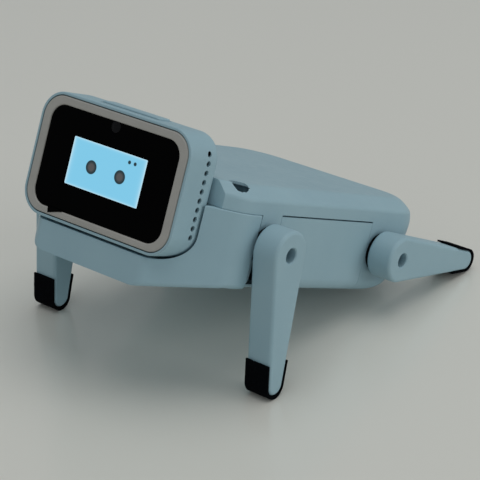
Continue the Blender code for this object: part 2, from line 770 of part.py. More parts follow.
def leg_drive(name, side, holder, looks):
    """What turns with the leg: the servo's output shaft, the horn on it and the leg's screw."""
    bm = bmesh.new()
    shaft = [(SHAFT_RADIUS, SERVO_TURRET_Y + GAP), (SHAFT_RADIUS, LEG_INNER_Y - GAP / 2)]
    add_turned(bm, "y", (0, 0), [(radius, side * y) for radius, y in shaft], 16)
    made = solid("servo_shaft_" + name, bm, looks["nylon"], holder)
    bm = bmesh.new()
    ends = sorted((side * (SERVO_TURRET_Y + MM), side * (LEG_INNER_Y + MM)))
    add_prism(bm, "y", circle(0, 0, LEG_SCREW_HOLE, 10), *ends)
    combine(made, cutter("shaft_bore_" + name, bm, holder))
    bm = bmesh.new()
    low = LEG_INNER_Y + GAP / 2
    high = low + HORN_THICKNESS
    add_prism(bm, "y", circle(0, 0, HORN_RADIUS, 20), *sorted((side * low, side * high)))
    horn = solid("servo_horn_" + name, bm, looks["nylon"], holder)
    bm = bmesh.new()
    wide = sorted((side * (low - 1 * MM), side * (high + 1 * MM)))
    add_prism(bm, "y", circle(0, 0, LEG_SCREW_HOLE, 10), *wide)
    combine(horn, cutter("horn_bore_" + name, bm, holder))
    seat = LEG_INNER_Y + HORN_RECESS + LEG_WEB + GAP / 2
    profile = [
        (0.8 * MM, LEG_INNER_Y - 1.2 * MM),
        (0.8 * MM, seat),
        (1.45 * MM, seat),
        (1.45 * MM, seat + 0.9 * MM),
        (1.0 * MM, seat + 1.2 * MM),
    ]
    bm = bmesh.new()
    add_turned(bm, "y", (0, 0), [(radius, side * y) for radius, y in profile], 14)
    solid("leg_screw_" + name, bm, looks["steel"], holder)


def rear_swing():
    """The rear legs' swing that puts all four feet on one plane, from straight down, forwards."""
    drop = LEG_LENGTH * math.cos(FRONT_SWING + PITCH) - AXLE_SPACING * math.sin(PITCH)
    return -math.acos(drop / LEG_LENGTH) - PITCH


def legs(looks, parent):
    for end, axle, swing in (("front", 0.0, FRONT_SWING), ("rear", -AXLE_SPACING, rear_swing())):
        for side_name, side in SIDES:
            name = end + "_" + side_name
            holder = empty("hip_" + name, parent, (axle, 0, 0), -swing)
            leg(name, side, holder, looks)
            foot_pad(name, side, holder, looks)
            leg_drive(name, side, holder, looks)
            servo(name, side, axle, parent, looks)


# ---------------------------------------------------------------- servos


def servo_span(axle):
    """Where a servo's case starts and ends along X: the long end points to the body's middle."""
    if axle == 0.0:
        return axle + SERVO_AXLE_INSET - SERVO_LENGTH, axle + SERVO_AXLE_INSET
    return axle - SERVO_AXLE_INSET, axle - SERVO_AXLE_INSET + SERVO_LENGTH


def servo_screw_places():
    places = []
    for axle in (0.0, -AXLE_SPACING):
        low_x, high_x = servo_span(axle)
        for x in (low_x - SERVO_TAB_HOLE, high_x + SERVO_TAB_HOLE):
            places += [(x, side) for _, side in SIDES]
    return places


def servo(name, side, axle, parent, looks):
    low_x, high_x = servo_span(axle)
    half = SERVO_HEIGHT / 2
    bm = bmesh.new()
    y = sorted((side * SERVO_INNER_Y, side * SERVO_CASE_TOP_Y))
    add_box(bm, (low_x, high_x), y, (-half, half))
    made = solid("servo_" + name, bm, looks["black"], parent)
    bm = bmesh.new()
    y = sorted((side * SERVO_TAB_Y[0], side * SERVO_TAB_Y[1]))
    z = (SERVO_TAB_INSET - half, half - SERVO_TAB_INSET)
    add_box(bm, (low_x - SERVO_TAB_REACH, high_x + SERVO_TAB_REACH), y, z)
    combine(made, cutter("servo_tabs_" + name, bm, parent), "UNION")
    bm = bmesh.new()
    y = sorted((side * (SERVO_CASE_TOP_Y - 1 * MM), side * SERVO_TURRET_Y))
    add_prism(bm, "y", circle(axle, 0, SERVO_TURRET_RADIUS, 24), *y)
    combine(made, cutter("servo_turret_" + name, bm, parent), "UNION")
    bm = bmesh.new()
    y = sorted((side * (SERVO_TAB_Y[0] - 1 * MM), side * (SERVO_TAB_Y[1] + 1 * MM)))
    for x in (low_x - SERVO_TAB_HOLE, high_x + SERVO_TAB_HOLE):
        add_prism(bm, "y", circle(x, 0, SERVO_SCREW_HOLE, 10), *y)
    combine(made, cutter("servo_tab_holes_" + name, bm, parent))


def servo_screws(look, parent):
    names = [
        end + "_" + hand + "_" + side
        for end in ("front", "rear")
        for hand in ("a", "b")
        for side, _ in SIDES
    ]
    for name, (x, side) in zip(names, servo_screw_places()):
        seat = SERVO_TAB_Y[0] - GAP
        profile = [
            (1.7 * MM, seat - 1.1 * MM),
            (1.7 * MM, seat),
            (0.8 * MM, seat),
            (0.8 * MM, SERVO_TAB_Y[1] + RIB_THICKNESS),
        ]
        bm = bmesh.new()
        add_turned(bm, "y", (x, 0), [(radius, side * y) for radius, y in profile], 12)
        solid("servo_screw_" + name, bm, look, parent)


# ---------------------------------------------------------------- inside the body


def belly_screw_places():
    return [(x, side * BELLY_SCREW_Y) for x in BELLY_SCREW_X for _, side in SIDES]


def belly_screws(look, parent):
    names = ("rear_left", "rear_right", "front_left", "front_right")
    for name, (x, y) in zip(names, belly_screw_places()):
        seat = BOTTOM_Z + BELLY_SCREW_SINK - GAP
        bm = bmesh.new()
        profile = [
            (1.35 * MM, BOTTOM_Z + 0.1 * MM),
            (1.35 * MM, seat),
            (0.7 * MM, seat),
            (0.7 * MM, BOTTOM_Z + 2.6 * MM),
        ]
        add_turned(bm, "z", (x, y), profile, 12)
        solid("belly_screw_" + name, bm, look, parent)


def shoulder_screws(look, parent):
    for name, side in SIDES:
        x, y = SHOULDER_SCREW
        bm = bmesh.new()
        seat = SHOULDER_SEAT_Z + GAP / 2
        top = seat + 1.4 * MM
        profile = [(0.9 * MM, -2 * MM), (0.9 * MM, seat), (2.2 * MM, seat), (2.2 * MM, top)]
        add_turned(bm, "z", (x, side * y), profile, 14)
        solid("shoulder_screw_" + name, bm, look, parent)


def battery(looks, parent):
    bm = bmesh.new()
    z = (SERVO_HEIGHT / 2 + BATTERY_CLEARANCE, TOP_Z - WALL - BATTERY_CLEARANCE)
    plan = plain_rectangle(BATTERY_X, (-BATTERY_HALF_WIDTH, BATTERY_HALF_WIDTH))
    add_prism(bm, "z", rounded([(a, b, MM) for a, b in plan], 2), *z)
    solid("battery", bm, looks["wrap"], parent)


def rear_electronics(looks, parent):
    """The power board at the tail, with the charging socket and the power switch on it."""
    inner = TAIL_INNER_X
    board_x = (inner + TAIL_BOARD_X[0], inner + TAIL_BOARD_X[1])
    bm = bmesh.new()
    add_box(bm, board_x, (-TAIL_BOARD_HALF_WIDTH, TAIL_BOARD_HALF_WIDTH), TAIL_BOARD_Z)
    solid("power_board", bm, looks["board"], parent)
    bm = bmesh.new()
    y, z = USB_CENTRE
    half, tall = USB_SIZE[0] / 2, USB_SIZE[1] / 2
    shell = round_rectangle(half, z - tall, z + tall, tall * 0.9)
    add_prism(bm, "x", [(a + y, b) for a, b in shell], REAR_X + GAP, board_x[0] - GAP)
    socket = solid("usb_port", bm, looks["steel"], parent)
    bm = bmesh.new()
    mouth = round_rectangle(half - GAP, z - tall + GAP, z + tall - GAP, tall * 0.9 - GAP)
    add_prism(bm, "x", [(a + y, b) for a, b in mouth], REAR_X - 1 * MM, board_x[0] - 1 * MM)
    combine(socket, cutter("usb_mouth", bm, parent))
    bm = bmesh.new()
    y, z = SWITCH_CENTRE
    half, tall = SWITCH_HALF
    add_box(bm, (inner + GAP, board_x[0] - GAP), (y - half, y + half), (z - tall, z + tall))
    case = solid("power_switch", bm, looks["steel"], parent)
    bm = bmesh.new()
    half, tall = SWITCH_SLOT[0] / 2, SWITCH_SLOT[1] / 2
    add_box(bm, (inner - 1 * MM, inner + 3 * MM), (y - half, y + half), (z - tall, z + tall))
    combine(case, cutter("switch_window", bm, parent))
    guide = empty("switch_guide", parent, (REAR_X, y - SWITCH_TRAVEL / 2, z))
    bm = bmesh.new()
    x = (-SWITCH_KNOB_PROUD, inner - REAR_X + 2 * MM)
    add_box(bm, x, (-SWITCH_KNOB_HALF, SWITCH_KNOB_HALF), (GAP - tall, tall - GAP))
    solid("switch_slider", bm, looks["black"], guide)


def ribbon(looks, parent):
    """The flat cable from the main board, through the neck slot, to the roof of the body."""
    bm = bmesh.new()
    add_box(bm, RIBBON_X, (-RIBBON_HALF_WIDTH, RIBBON_HALF_WIDTH), RIBBON_Z)
    solid("ribbon_cable", bm, looks["wrap"], parent)


# ---------------------------------------------------------------- assembly


def stand_on_origin(root):
    """Moves the robot so that it stands on Z = 0 with the middle of its box above the origin."""
    bpy.context.view_layer.update()
    graph = bpy.context.evaluated_depsgraph_get()
    low, high = Vector((FAR, FAR, FAR)) * 10, Vector((-FAR, -FAR, -FAR)) * 10
    for item in bpy.data.objects:
        if item.type != "MESH" or item.hide_render:
            continue
        shaped = item.evaluated_get(graph)
        for vertex in shaped.data.vertices:
            point = shaped.matrix_world @ vertex.co
            low = Vector(map(min, low, point))
            high = Vector(map(max, high, point))
    root.location = (-(low.x + high.x) / 2, -(low.y + high.y) / 2, -low.z)


def main():
    for item in list(bpy.data.objects):
        bpy.data.objects.remove(item, do_unlink=True)
    looks = {
        "shell": material("pale blue print", (0.42, 0.62, 0.68), 0.55),
        "bezel": material("warm grey plastic", (0.55, 0.53, 0.49), 0.45),
        "glass": material("black glass", (0.01, 0.01, 0.012), 0.08),
        "screen": material("lit screen", (0.45, 0.75, 0.9), 0.3),
        "black": material("black plastic", (0.02, 0.02, 0.022), 0.5),
        "foam": material("black foam rubber", (0.015, 0.015, 0.016), 0.9),
        "nylon": material("dark nylon", (0.03, 0.03, 0.032), 0.45),
        "steel": material("steel", (0.55, 0.55, 0.56), 0.35, 1.0),
        "board": material("circuit board", (0.02, 0.10, 0.05), 0.4),
        "wrap": material("silver wrap", (0.5, 0.5, 0.52), 0.4, 0.6),
    }
    root = empty("robot", None, turn_y=-PITCH)
    tools = shell_tools(root)
    top_shell(looks["shell"], root, tools)
    bottom_cover(looks["shell"], root, tools)
    front_cover(looks["shell"], root, tools)
    head_housing(looks["shell"], root)
    head_front(looks, root)
    head_inside(looks, root)
    head_button(looks, root)
    head_screws(looks["steel"], root)
    legs(looks, root)
    servo_screws(looks["steel"], root)
    belly_screws(looks["steel"], root)
    shoulder_screws(looks["steel"], root)
    battery(looks, root)
    rear_electronics(looks, root)
    ribbon(looks, root)
    stand_on_origin(root)


main()
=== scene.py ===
"""The looks of a desk-sized robot dog, built round its CAD frame.

Most shapes are modelled in the body's own frame: +X towards the head, +Y to the robot's left, +Z out of
its back, with the origin in the middle of the front hip axle. Each leg has a frame like it at its hip,
with its foot towards -Z. Sizes are in metres, and the main ones are read from the CAD nodes.
"""

import json
import math

import bmesh
import bpy
from mathutils import Matrix, Vector, noise


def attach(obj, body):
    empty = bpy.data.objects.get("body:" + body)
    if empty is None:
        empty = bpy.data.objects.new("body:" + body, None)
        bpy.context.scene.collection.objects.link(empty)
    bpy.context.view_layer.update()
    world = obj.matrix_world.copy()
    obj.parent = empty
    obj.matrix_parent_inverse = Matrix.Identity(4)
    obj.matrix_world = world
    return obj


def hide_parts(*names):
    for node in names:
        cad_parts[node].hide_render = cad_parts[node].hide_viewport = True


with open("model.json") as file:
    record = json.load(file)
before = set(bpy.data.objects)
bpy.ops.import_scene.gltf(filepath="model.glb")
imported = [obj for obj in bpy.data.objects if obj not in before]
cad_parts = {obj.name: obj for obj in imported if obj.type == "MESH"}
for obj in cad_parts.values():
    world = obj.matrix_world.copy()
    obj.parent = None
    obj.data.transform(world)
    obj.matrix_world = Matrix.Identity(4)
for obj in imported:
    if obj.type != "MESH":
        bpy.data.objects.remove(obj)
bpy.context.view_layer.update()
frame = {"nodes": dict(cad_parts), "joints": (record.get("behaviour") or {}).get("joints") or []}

MM = 0.001
TOUCH = 0.02 * MM
FAR = 0.06
EVERYWHERE = (-FAR, FAR)
SIDES = (("left", 1), ("right", -1))
LEGS = [(end + "_" + side, end, hand) for end in ("front", "rear") for side, hand in SIDES]

# -------- frames and sizes

JOINTS = {joint["name"]: joint for joint in frame["joints"]}
LEFT = Vector((0, 1, 0))


def axes_at(place, up):
    """The matrix of a frame at a place, with +Y to the robot's left and +Z along up."""
    ahead = LEFT.cross(up).normalized()
    turn = Matrix((ahead, LEFT, up.normalized())).transposed().to_4x4()
    return Matrix.Translation(place) @ turn


def leg_frame(name):
    """A leg's frame: its outline is even about the line from its hip to its foot."""
    hip = Vector(JOINTS["hip_" + name]["pos_m"])
    points = [vertex.co for vertex in frame["nodes"]["leg_" + name].data.vertices]
    middle = sum(points, Vector()) / len(points)
    return axes_at(hip, Vector((hip.x - middle.x, 0, hip.z - middle.z)))


BODY = axes_at(Vector(JOINTS["hip_front_left"]["pos_m"]), -Vector(JOINTS["head_button_press"]["axis"]))
LEG_FRAMES = {name: leg_frame(name) for name, _, _ in LEGS}


def span(node, matrix=BODY):
    """The lowest and highest corners of a CAD node, measured along a frame's own axes."""
    back = matrix.inverted()
    points = [back @ vertex.co for vertex in frame["nodes"][node].data.vertices]
    return [Vector(pick(point[axis] for point in points) for axis in range(3)) for pick in (min, max)]


REAR_AXLE_X = (BODY.inverted() @ Vector(JOINTS["hip_rear_left"]["pos_m"])).x
SHELL_LOW, SHELL_HIGH = span("top_shell")
BELLY_LOW, _ = span("bottom_cover")
CHEST_LOW, CHEST_HIGH = span("front_cover")
HEAD_LOW, HEAD_HIGH = span("head_housing")
GLASS_LOW, GLASS_HIGH = span("screen_glass")
BUTTON_LOW, BUTTON_HIGH = span("head_button")
USB_LOW, USB_HIGH = span("usb_port")
SLIDER_LOW, SLIDER_HIGH = span("switch_slider")

HALF_WIDTH = SHELL_HIGH.y
LEAST_RADIUS = 0.3 * MM
WALL = 1.6 * MM
SHOULDER_Z = 10.2 * MM
TOP_INSET = 4.0 * MM
TAPER_INSET_SHARE = 0.5
REAR_RADIUS = 13.0 * MM
LOW_REAR_RADIUS = 5.0 * MM
REAR_RADIUS_RISE = 10.0 * MM
TAIL_RADIUS = 19.0 * MM
TAIL_TOP_RADIUS = 6.5 * MM
TAPER_X = 9.0 * MM
TAPER_RADIUS = 8.0 * MM
CHIN_X = 24.0 * MM
CHIN_HALF = 15.2 * MM
CHIN_RADIUS = 3.0 * MM
BELLY_FILLET = 3.0 * MM
CHIN_FILLET = 1.3 * MM
CREASE_BENDS = (0.7 * MM, 1.1 * MM)
RING_RISE = 1.2 * MM
CHEST_PROUD = 0.32 * MM
CHEST_CORNER_X = -20.0 * MM
SEAM_GAP = 0.3 * MM
PANEL_GAP = 0.05 * MM
CHEST_TOP_GAP = 0.05 * MM
SLOT_HEIGHT = 0.32 * MM
PANEL_FRONT_X = -4.3 * MM
NOTCH_BOTTOM_Z = -8.0 * MM
HIP_HOLE_RADIUS = 4.4 * MM
HIP_SLOT_HALF = 2.6 * MM
SHOULDER_SCREW = (8.5 * MM, 24.1 * MM)
SHOULDER_HOLE_RADIUS = 2.35 * MM
SHOULDER_HOLE_SHIFT = (0.2 * MM, 0.5 * MM)
SHOULDER_HOLE_STEP = 1.1 * MM
SHOULDER_POCKET_RADIUS = 3.2 * MM
SHOULDER_POCKET_SHIFT = (-0.8 * MM, -1.0 * MM)
SHOULDER_POCKET_TOP = 12.2 * MM
BELLY_SCREW_HOLE = 1.6 * MM
BELLY_SCREW_DEPTH = 0.8 * MM
SLIDER_TRAVEL_ROOM = 2.2 * MM

HEAD_RADIUS = 6.0 * MM
HEAD_BACK_ROUND = 2.2 * MM
HEAD_FRONT_ROUND = 0.3 * MM
HEAD_WALL = 1.5 * MM
SEAT_GAP = 0.6 * MM
BUTTON_X = (16.6 * MM, 21.0 * MM)
BUTTON_PROUD = 0.42 * MM
BUTTON_RADIUS = 0.8 * MM
BUTTON_GAP = 0.18 * MM
RIM = 0.64 * MM
BEZEL_GAP = 0.2 * MM
BEZEL_DEPTH = 1.9 * MM
BEZEL_PROUD = 0.1 * MM
BEZEL_EDGE = 0.35 * MM
GLASS_RADIUS = 3.8 * MM
GLASS_GAP = 0.06 * MM
WINDOW_DEPTH = 0.08 * MM
SCREEN_HALF = (10.85 * MM, 5.42 * MM)
SCREEN_CENTRE_Z = 7.83 * MM
SCREEN_RADIUS = 0.25 * MM
SCREEN_THICK = 0.05 * MM
EYE_RADIUS = 1.55 * MM
EYE_CENTRE_RADIUS = EYE_RADIUS * 0.62
EYE_Y = (4.25 * MM, -4.25 * MM)
EYE_Z = SCREEN_CENTRE_Z - 0.1 * MM
DOT_RADIUS = 0.42 * MM
DOT_Y = (6.0 * MM, 7.65 * MM)
DOT_Z = SCREEN_CENTRE_Z + 3.7 * MM
LENS_Z = 18.0 * MM
LENS_RADIUS = 0.9 * MM
LENS_DOME = 0.06 * MM
FILM_Y = -13.75 * MM
FILM_LENGTH = 4.4 * MM
FILM_DROP = 1.25 * MM
FILM_THICK = 0.06 * MM
VENT_X = 17.8 * MM
VENT_LOW_Z = -0.7 * MM
VENT_PITCH = 2.06 * MM
VENT_RADIUS = 0.66 * MM
VENT_WALL = 0.72 * MM
VENT_COUNT = 10
VENT_STRIP_HALF = 0.76 * MM

LEG_FILLET = 0.9 * MM
LEG_BORE = 1.75 * MM
LEG_BORE_CHAMFER = 0.3 * MM
HORN_RECESS_RADIUS = 3.9 * MM
HORN_RECESS_DEPTH = 2.1 * MM
LEG_SCREW_HOLE = 1.1 * MM
LEG_WEB = 0.8 * MM
FOOT_RADIUS = 2.5 * MM
PAD_GAP = 0.05 * MM
PAD_SIDE_SHARE = 0.6
PAD_SIDE_INSET = 0.12 * MM
PAD_CLEARANCE = 0.06 * MM
PAD_ROUGHNESS = 0.05 * MM
PAD_RAGGED = 0.25 * MM

# Each screw's head radius, shank radius and head height.
LEG_SCREW = (1.45 * MM, 0.8 * MM, 1.2 * MM)
BELLY_SCREW = (1.35 * MM, 0.7 * MM, 0.9 * MM)
SHOULDER_SCREW_SIZE = (1.9 * MM, 0.9 * MM, 1.2 * MM)

SOCKET_SHEET = 0.3 * MM
TONGUE_HALF_THICK = 0.35 * MM
TONGUE_SIDE_GAP = 1.1 * MM
TONGUE_SET_BACK = 0.7 * MM
KNOB_RADIUS = 0.25 * MM
GRIP_PITCH = 0.8 * MM
GRIP_HALF = 0.15 * MM
GRIP_DEPTH = 0.25 * MM


# -------- outlines


def rounded(corners, steps=14):
    """The closed outline through (a, b, radius) corners, each turned into an arc."""
    points = []
    for index, (a, b, radius) in enumerate(corners):
        here = Vector((a, b))
        back = (Vector(corners[index - 1][:2]) - here).normalized()
        ahead = (Vector(corners[(index + 1) % len(corners)][:2]) - here).normalized()
        half = back.angle(ahead) / 2
        centre = here + (back + ahead).normalized() * radius / math.sin(half)
        start = here + back * radius / math.tan(half) - centre
        end = here + ahead * radius / math.tan(half) - centre
        sweep = start.angle_signed(end)
        for step in range(steps + 1):
            turn = -sweep * step / steps
            across = start.x * math.cos(turn) - start.y * math.sin(turn)
            along = start.x * math.sin(turn) + start.y * math.cos(turn)
            points.append((centre.x + across, centre.y + along))
    return points


def inset(corners, distances):
    """The corners of a convex outline whose edges move in; edge i ends at corner i."""
    count = len(corners)
    lines = []
    for index in range(count):
        start, end = Vector(corners[index - 1][:2]), Vector(corners[index][:2])
        along = (end - start).normalized()
        lines.append((start + Vector((-along.y, along.x)) * distances[index], along))
    moved = []
    for index in range(count):
        (p, u), (q, v) = lines[index], lines[(index + 1) % count]
        reach = (q - p).cross(v) / u.cross(v)
        radius = corners[index][2] - min(distances[index], distances[(index + 1) % count])
        moved.append((*(p + u * reach), max(radius, LEAST_RADIUS)))
    return moved


def round_rectangle(half_a, low_b, high_b, radius, steps=12):
    corners = [(half_a, low_b), (half_a, high_b), (-half_a, high_b), (-half_a, low_b)]
    return rounded([(a, b, radius) for a, b in corners], steps)


def shrinking(half_a, low_b, high_b, radius, steps=12, middle=0.0):
    """The outline_at(d) of a round rectangle: the same one drawn in by d all round."""

    def outline_at(drawn_in):
        low, high = low_b + drawn_in, high_b - drawn_in
        shape = round_rectangle(half_a - drawn_in, low, high, radius - drawn_in, steps)
        return [(a + middle, b) for a, b in shape]

    return outline_at


def circle(a, b, radius, count=40):
    turns = [2 * math.pi * index / count for index in range(count)]
    return [(a + radius * math.cos(turn), b + radius * math.sin(turn)) for turn in turns]


def quarter(radius, steps=6):
    """(drawn in, height) pairs up a quarter round, from a flat face to an upright one."""
    turns = [math.pi / 2 * step / steps for step in range(steps + 1)]
    return [(radius * (1 - math.sin(turn)), radius * (1 - math.cos(turn))) for turn in turns]


def bend(start, corner, end, steps=6):
    """Points along a smooth bend from start to end, pulled towards the corner."""
    points = []
    for step in range(steps + 1):
        t = step / steps
        mix = zip(start, corner, end)
        points.append([a * (1 - t) ** 2 + 2 * b * t * (1 - t) + c * t * t for a, b, c in mix])
    return points


# -------- meshes

PLANES = {
    "x": lambda a, b, h: (h, a, b),
    "y": lambda a, b, h: (a, h, b),
    "z": lambda a, b, h: (a, b, h),
}


def add_rings(bm, rings, cap=True):
    """Adds the closed solid through rings of points that match one to one."""
    loops = [[bm.verts.new(point) for point in ring] for ring in rings]
    faces = [bm.faces.new(loops[0]), bm.faces.new(loops[-1])] if cap else []
    for low, high in zip(loops, loops[1:]):
        for index in range(len(low)):
            ahead = (index + 1) % len(low)
            faces.append(bm.faces.new((low[index], low[ahead], high[ahead], high[index])))
    if cap:
        bmesh.ops.recalc_face_normals(bm, faces=faces)
    return loops


def add_loft(bm, axis, sections):
    """Adds the closed solid through (outline, height) sections stacked along an axis."""
    place = PLANES[axis]
    add_rings(bm, [[place(a, b, height) for a, b in outline] for outline, height in sections])


def add_prism(bm, axis, outline, low, high):
    add_loft(bm, axis, [(outline, low), (outline, high)])


def add_box(bm, x, y, z):
    add_prism(bm, "z", [(x[1], y[0]), (x[1], y[1]), (x[0], y[1]), (x[0], y[0])], *z)


def add_turned(bm, axis, centre, profile, count=40):
    """Adds a solid turned about an axis, from (radius, height) points up its outside."""
    add_loft(bm, axis, [(circle(*centre, radius, count), height) for radius, height in profile])


def rounded_block(bm, axis, outline_at, low, high, radius, steps=5):
    """Adds a prism whose two end faces have rounded edges; outline_at(d) is its outline drawn in by d."""
    edge = quarter(radius, steps)
    sections = [(outline_at(drawn_in), low + height) for drawn_in, height in edge]
    sections += [(outline_at(drawn_in), high - height) for drawn_in, height in reversed(edge)]
    add_loft(bm, axis, sections)


def loose(name, bm, matrix):
    """A new object with the mesh, which is used up, placed by the matrix."""
    mesh = bpy.data.meshes.new(name)
    bm.to_mesh(mesh)
    bm.free()
    made = bpy.data.objects.new(name, mesh)
    bpy.context.scene.collection.objects.link(made)
    made.matrix_world = matrix
    return made


def built(name, add, matrix=BODY):
    """A new object in a frame, whose mesh add(bm) makes."""
    bm = bmesh.new()
    add(bm)
    return loose(name, bm, matrix)


def settle(piece):
    """Writes the piece's modifiers into its mesh."""
    bpy.context.view_layer.update()
    graph = bpy.context.evaluated_depsgraph_get()
    mesh = bpy.data.meshes.new_from_object(piece.evaluated_get(graph), depsgraph=graph)
    piece.modifiers.clear()
    piece.data = mesh


def cut(piece, make, operation="DIFFERENCE"):
    """Cuts a piece with, or down to, the solids that make(bm) adds in the piece's own frame."""
    carve(piece, built("tool", make, piece.matrix_world), operation)


def carve(piece, tool, operation="DIFFERENCE"):
    """Cuts a piece with another object, which is used up."""
    boolean = piece.modifiers.new("cut", "BOOLEAN")
    boolean.operation = operation
    boolean.solver = "EXACT"
    boolean.object = tool
    settle(piece)
    bpy.data.objects.remove(tool)


def soften(piece, width, angle=40, segments=2):
    """Rounds the sharp edges that cutting left."""
    bm = bmesh.new()
    bm.from_mesh(piece.data)
    bmesh.ops.remove_doubles(bm, verts=bm.verts, dist=TOUCH)
    bmesh.ops.dissolve_degenerate(bm, edges=bm.edges, dist=TOUCH / 2)
    bm.to_mesh(piece.data)
    bm.free()
    bevel = piece.modifiers.new("soft edges", "BEVEL")
    bevel.width = width
    bevel.segments = segments
    bevel.limit_method = "ANGLE"
    bevel.angle_limit = math.radians(angle)
    bevel.use_clamp_overlap = False
    bevel.miter_outer = "MITER_ARC"
    settle(piece)


def dress(piece, look, body="body", node=None, sharp=25):
    """Gives a finished piece its material, its shading and its place in the frame."""
    piece.data.materials.clear()
    piece.data.materials.append(look)
    piece.data.shade_smooth()
    piece.data.set_sharp_from_angle(angle=math.radians(sharp))
    weighted = piece.modifiers.new("even shading", "WEIGHTED_NORMAL")
    weighted.keep_sharp = True
    weighted.weight = 90
    settle(piece)
    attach(piece, body)
    if node:
        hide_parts(node)


# -------- materials

SHELL_COLOUR = (0.326, 0.492, 0.560)
SHELL_DEEP = (0.302, 0.464, 0.536)


def new_look(name, colour, roughness, metallic=0.0, specular=0.5):
    """A new material, with its node tree, its shader and its object coordinates."""
    look = bpy.data.materials.new(name)
    look.use_nodes = True
    shader = look.node_tree.nodes["Principled BSDF"]
    shader.inputs["Base Color"].default_value = (*colour, 1.0)
    shader.inputs["Roughness"].default_value = roughness
    shader.inputs["Metallic"].default_value = metallic
    shader.inputs["Specular IOR Level"].default_value = specular
    place = add_node(look.node_tree, "TexCoord").outputs["Object"]
    return look, look.node_tree, shader, place


def add_node(tree, kind, links=(), **values):
    """Adds a node; values set its inputs by name, with spaces written as underscores."""
    node = tree.nodes.new("ShaderNode" + kind)
    for name, value in values.items():
        if hasattr(node, name):
            setattr(node, name, value)
        else:
            node.inputs[name.replace("_", " ")].default_value = value
    for socket, source in links:
        tree.links.new(source, node.inputs[socket])
    return node


def mottle(tree, place, scale, detail=4.0):
    return add_node(tree, "TexNoise", [("Vector", place)], Scale=scale, Detail=detail).outputs["Fac"]


def spread(tree, source, low, high):
    """Maps a 0 to 1 value, mostly near its middle, on to low to high."""
    node = add_node(tree, "MapRange", [("Value", source)])
    for name, value in (("From Min", 0.3), ("From Max", 0.7), ("To Min", low), ("To Max", high)):
        node.inputs[name].default_value = value
    return node.outputs["Result"]


def blend_colours(tree, amount, first, second):
    """Mixes two colours, each a tuple or a socket."""
    node = tree.nodes.new("ShaderNodeMix")
    node.data_type = "RGBA"
    tree.links.new(amount, node.inputs["Factor"])
    for socket, colour in (("A", first), ("B", second)):
        inputs = [item for item in node.inputs if item.name == socket and item.type == "RGBA"]
        if isinstance(colour, tuple):
            inputs[0].default_value = (*colour, 1.0)
        else:
            tree.links.new(colour, inputs[0])
    return [item for item in node.outputs if item.type == "RGBA"][0]


def mottle_colour(tree, shader, place, scale, first, second, detail=4.0):
    """Sets a base colour that drifts between two colours."""
    amount = spread(tree, mottle(tree, place, scale, detail), 0.0, 1.0)
    tree.links.new(blend_colours(tree, amount, first, second), shader.inputs["Base Color"])


def mottle_roughness(tree, shader, place, scale, low, high, detail=4.0):
    """Sets a roughness that drifts between two values."""
    rough = spread(tree, mottle(tree, place, scale, detail), low, high)
    tree.links.new(rough, shader.inputs["Roughness"])


def emboss(tree, shader, heights):
    """Chains (height, strength, distance) bumps into the shader's normal."""
    normal = None
    for height, strength, distance in heights:
        bump = add_node(tree, "Bump", [("Height", height)], Strength=strength, Distance=distance)
        if normal:
            tree.links.new(normal, bump.inputs["Normal"])
        normal = bump.outputs["Normal"]
    tree.links.new(normal, shader.inputs["Normal"])


def layer_lines(tree, place, axis, pitch=0.16 * MM):
    """Fine parallel ridges, one for each printed layer."""
    wave_scale = 2 * math.pi / 20 / pitch
    node = add_node(tree, "TexWave", [("Vector", place)], Scale=wave_scale, Distortion=0.6)
    node.bands_direction = axis
    node.inputs["Detail"].default_value = 1.0
    return node.outputs["Fac"]


def printed_look(name, axis):
    """Pale blue printed plastic: satin, with faint layers across the axis and slight mottling."""
    look, tree, shader, place = new_look(name, SHELL_COLOUR, 0.5, specular=0.45)
    mottle_colour(tree, shader, place, 70.0, SHELL_DEEP, SHELL_COLOUR)
    mottle_roughness(tree, shader, place, 400.0, 0.44, 0.56)
    heights = [
        (layer_lines(tree, place, axis), 0.25, 0.012 * MM),
        (mottle(tree, place, 1800.0, 6.0), 0.2, 0.03 * MM),
    ]
    emboss(tree, shader, heights)
    return look


def plastic_look(name, dark, light, roughness, grain=1500.0, depth=0.02 * MM, specular=0.5):
    """Moulded plastic with a fine grain."""
    look, tree, shader, place = new_look(name, light, roughness, specular=specular)
    mottle_colour(tree, shader, place, 150.0, dark, light)
    mottle_roughness(tree, shader, place, 500.0, roughness - 0.05, roughness + 0.05)
    emboss(tree, shader, [(mottle(tree, place, grain, 6.0), 0.3, depth)])
    return look


def metal_look(name, colour, roughness):
    """Plated steel with a fine grain and a little tarnish."""
    look, tree, shader, place = new_look(name, colour, roughness, metallic=1.0)
    dull = tuple(channel * 0.7 for channel in colour)
    mottle_colour(tree, shader, place, 900.0, dull, colour)
    mottle_roughness(tree, shader, place, 2500.0, roughness - 0.08, roughness + 0.12)
    emboss(tree, shader, [(mottle(tree, place, 4000.0), 0.2, 0.01 * MM)])
    return look


def foam_look():
    """Black closed-cell foam: very matt, with small open pores at its surface."""
    look, tree, shader, place = new_look("black foam", (0.002, 0.002, 0.003), 0.9, specular=0.03)
    cells = add_node(tree, "TexVoronoi", [("Vector", place)], Scale=2600.0).outputs["Distance"]
    tone = blend_colours(tree, cells, (0.0010, 0.0014, 0.0022), (0.0030, 0.0036, 0.0050))
    tree.links.new(tone, shader.inputs["Base Color"])
    emboss(tree, shader, [(cells, 0.6, 0.08 * MM), (mottle(tree, place, 900.0), 0.3, 0.05 * MM)])
    return look


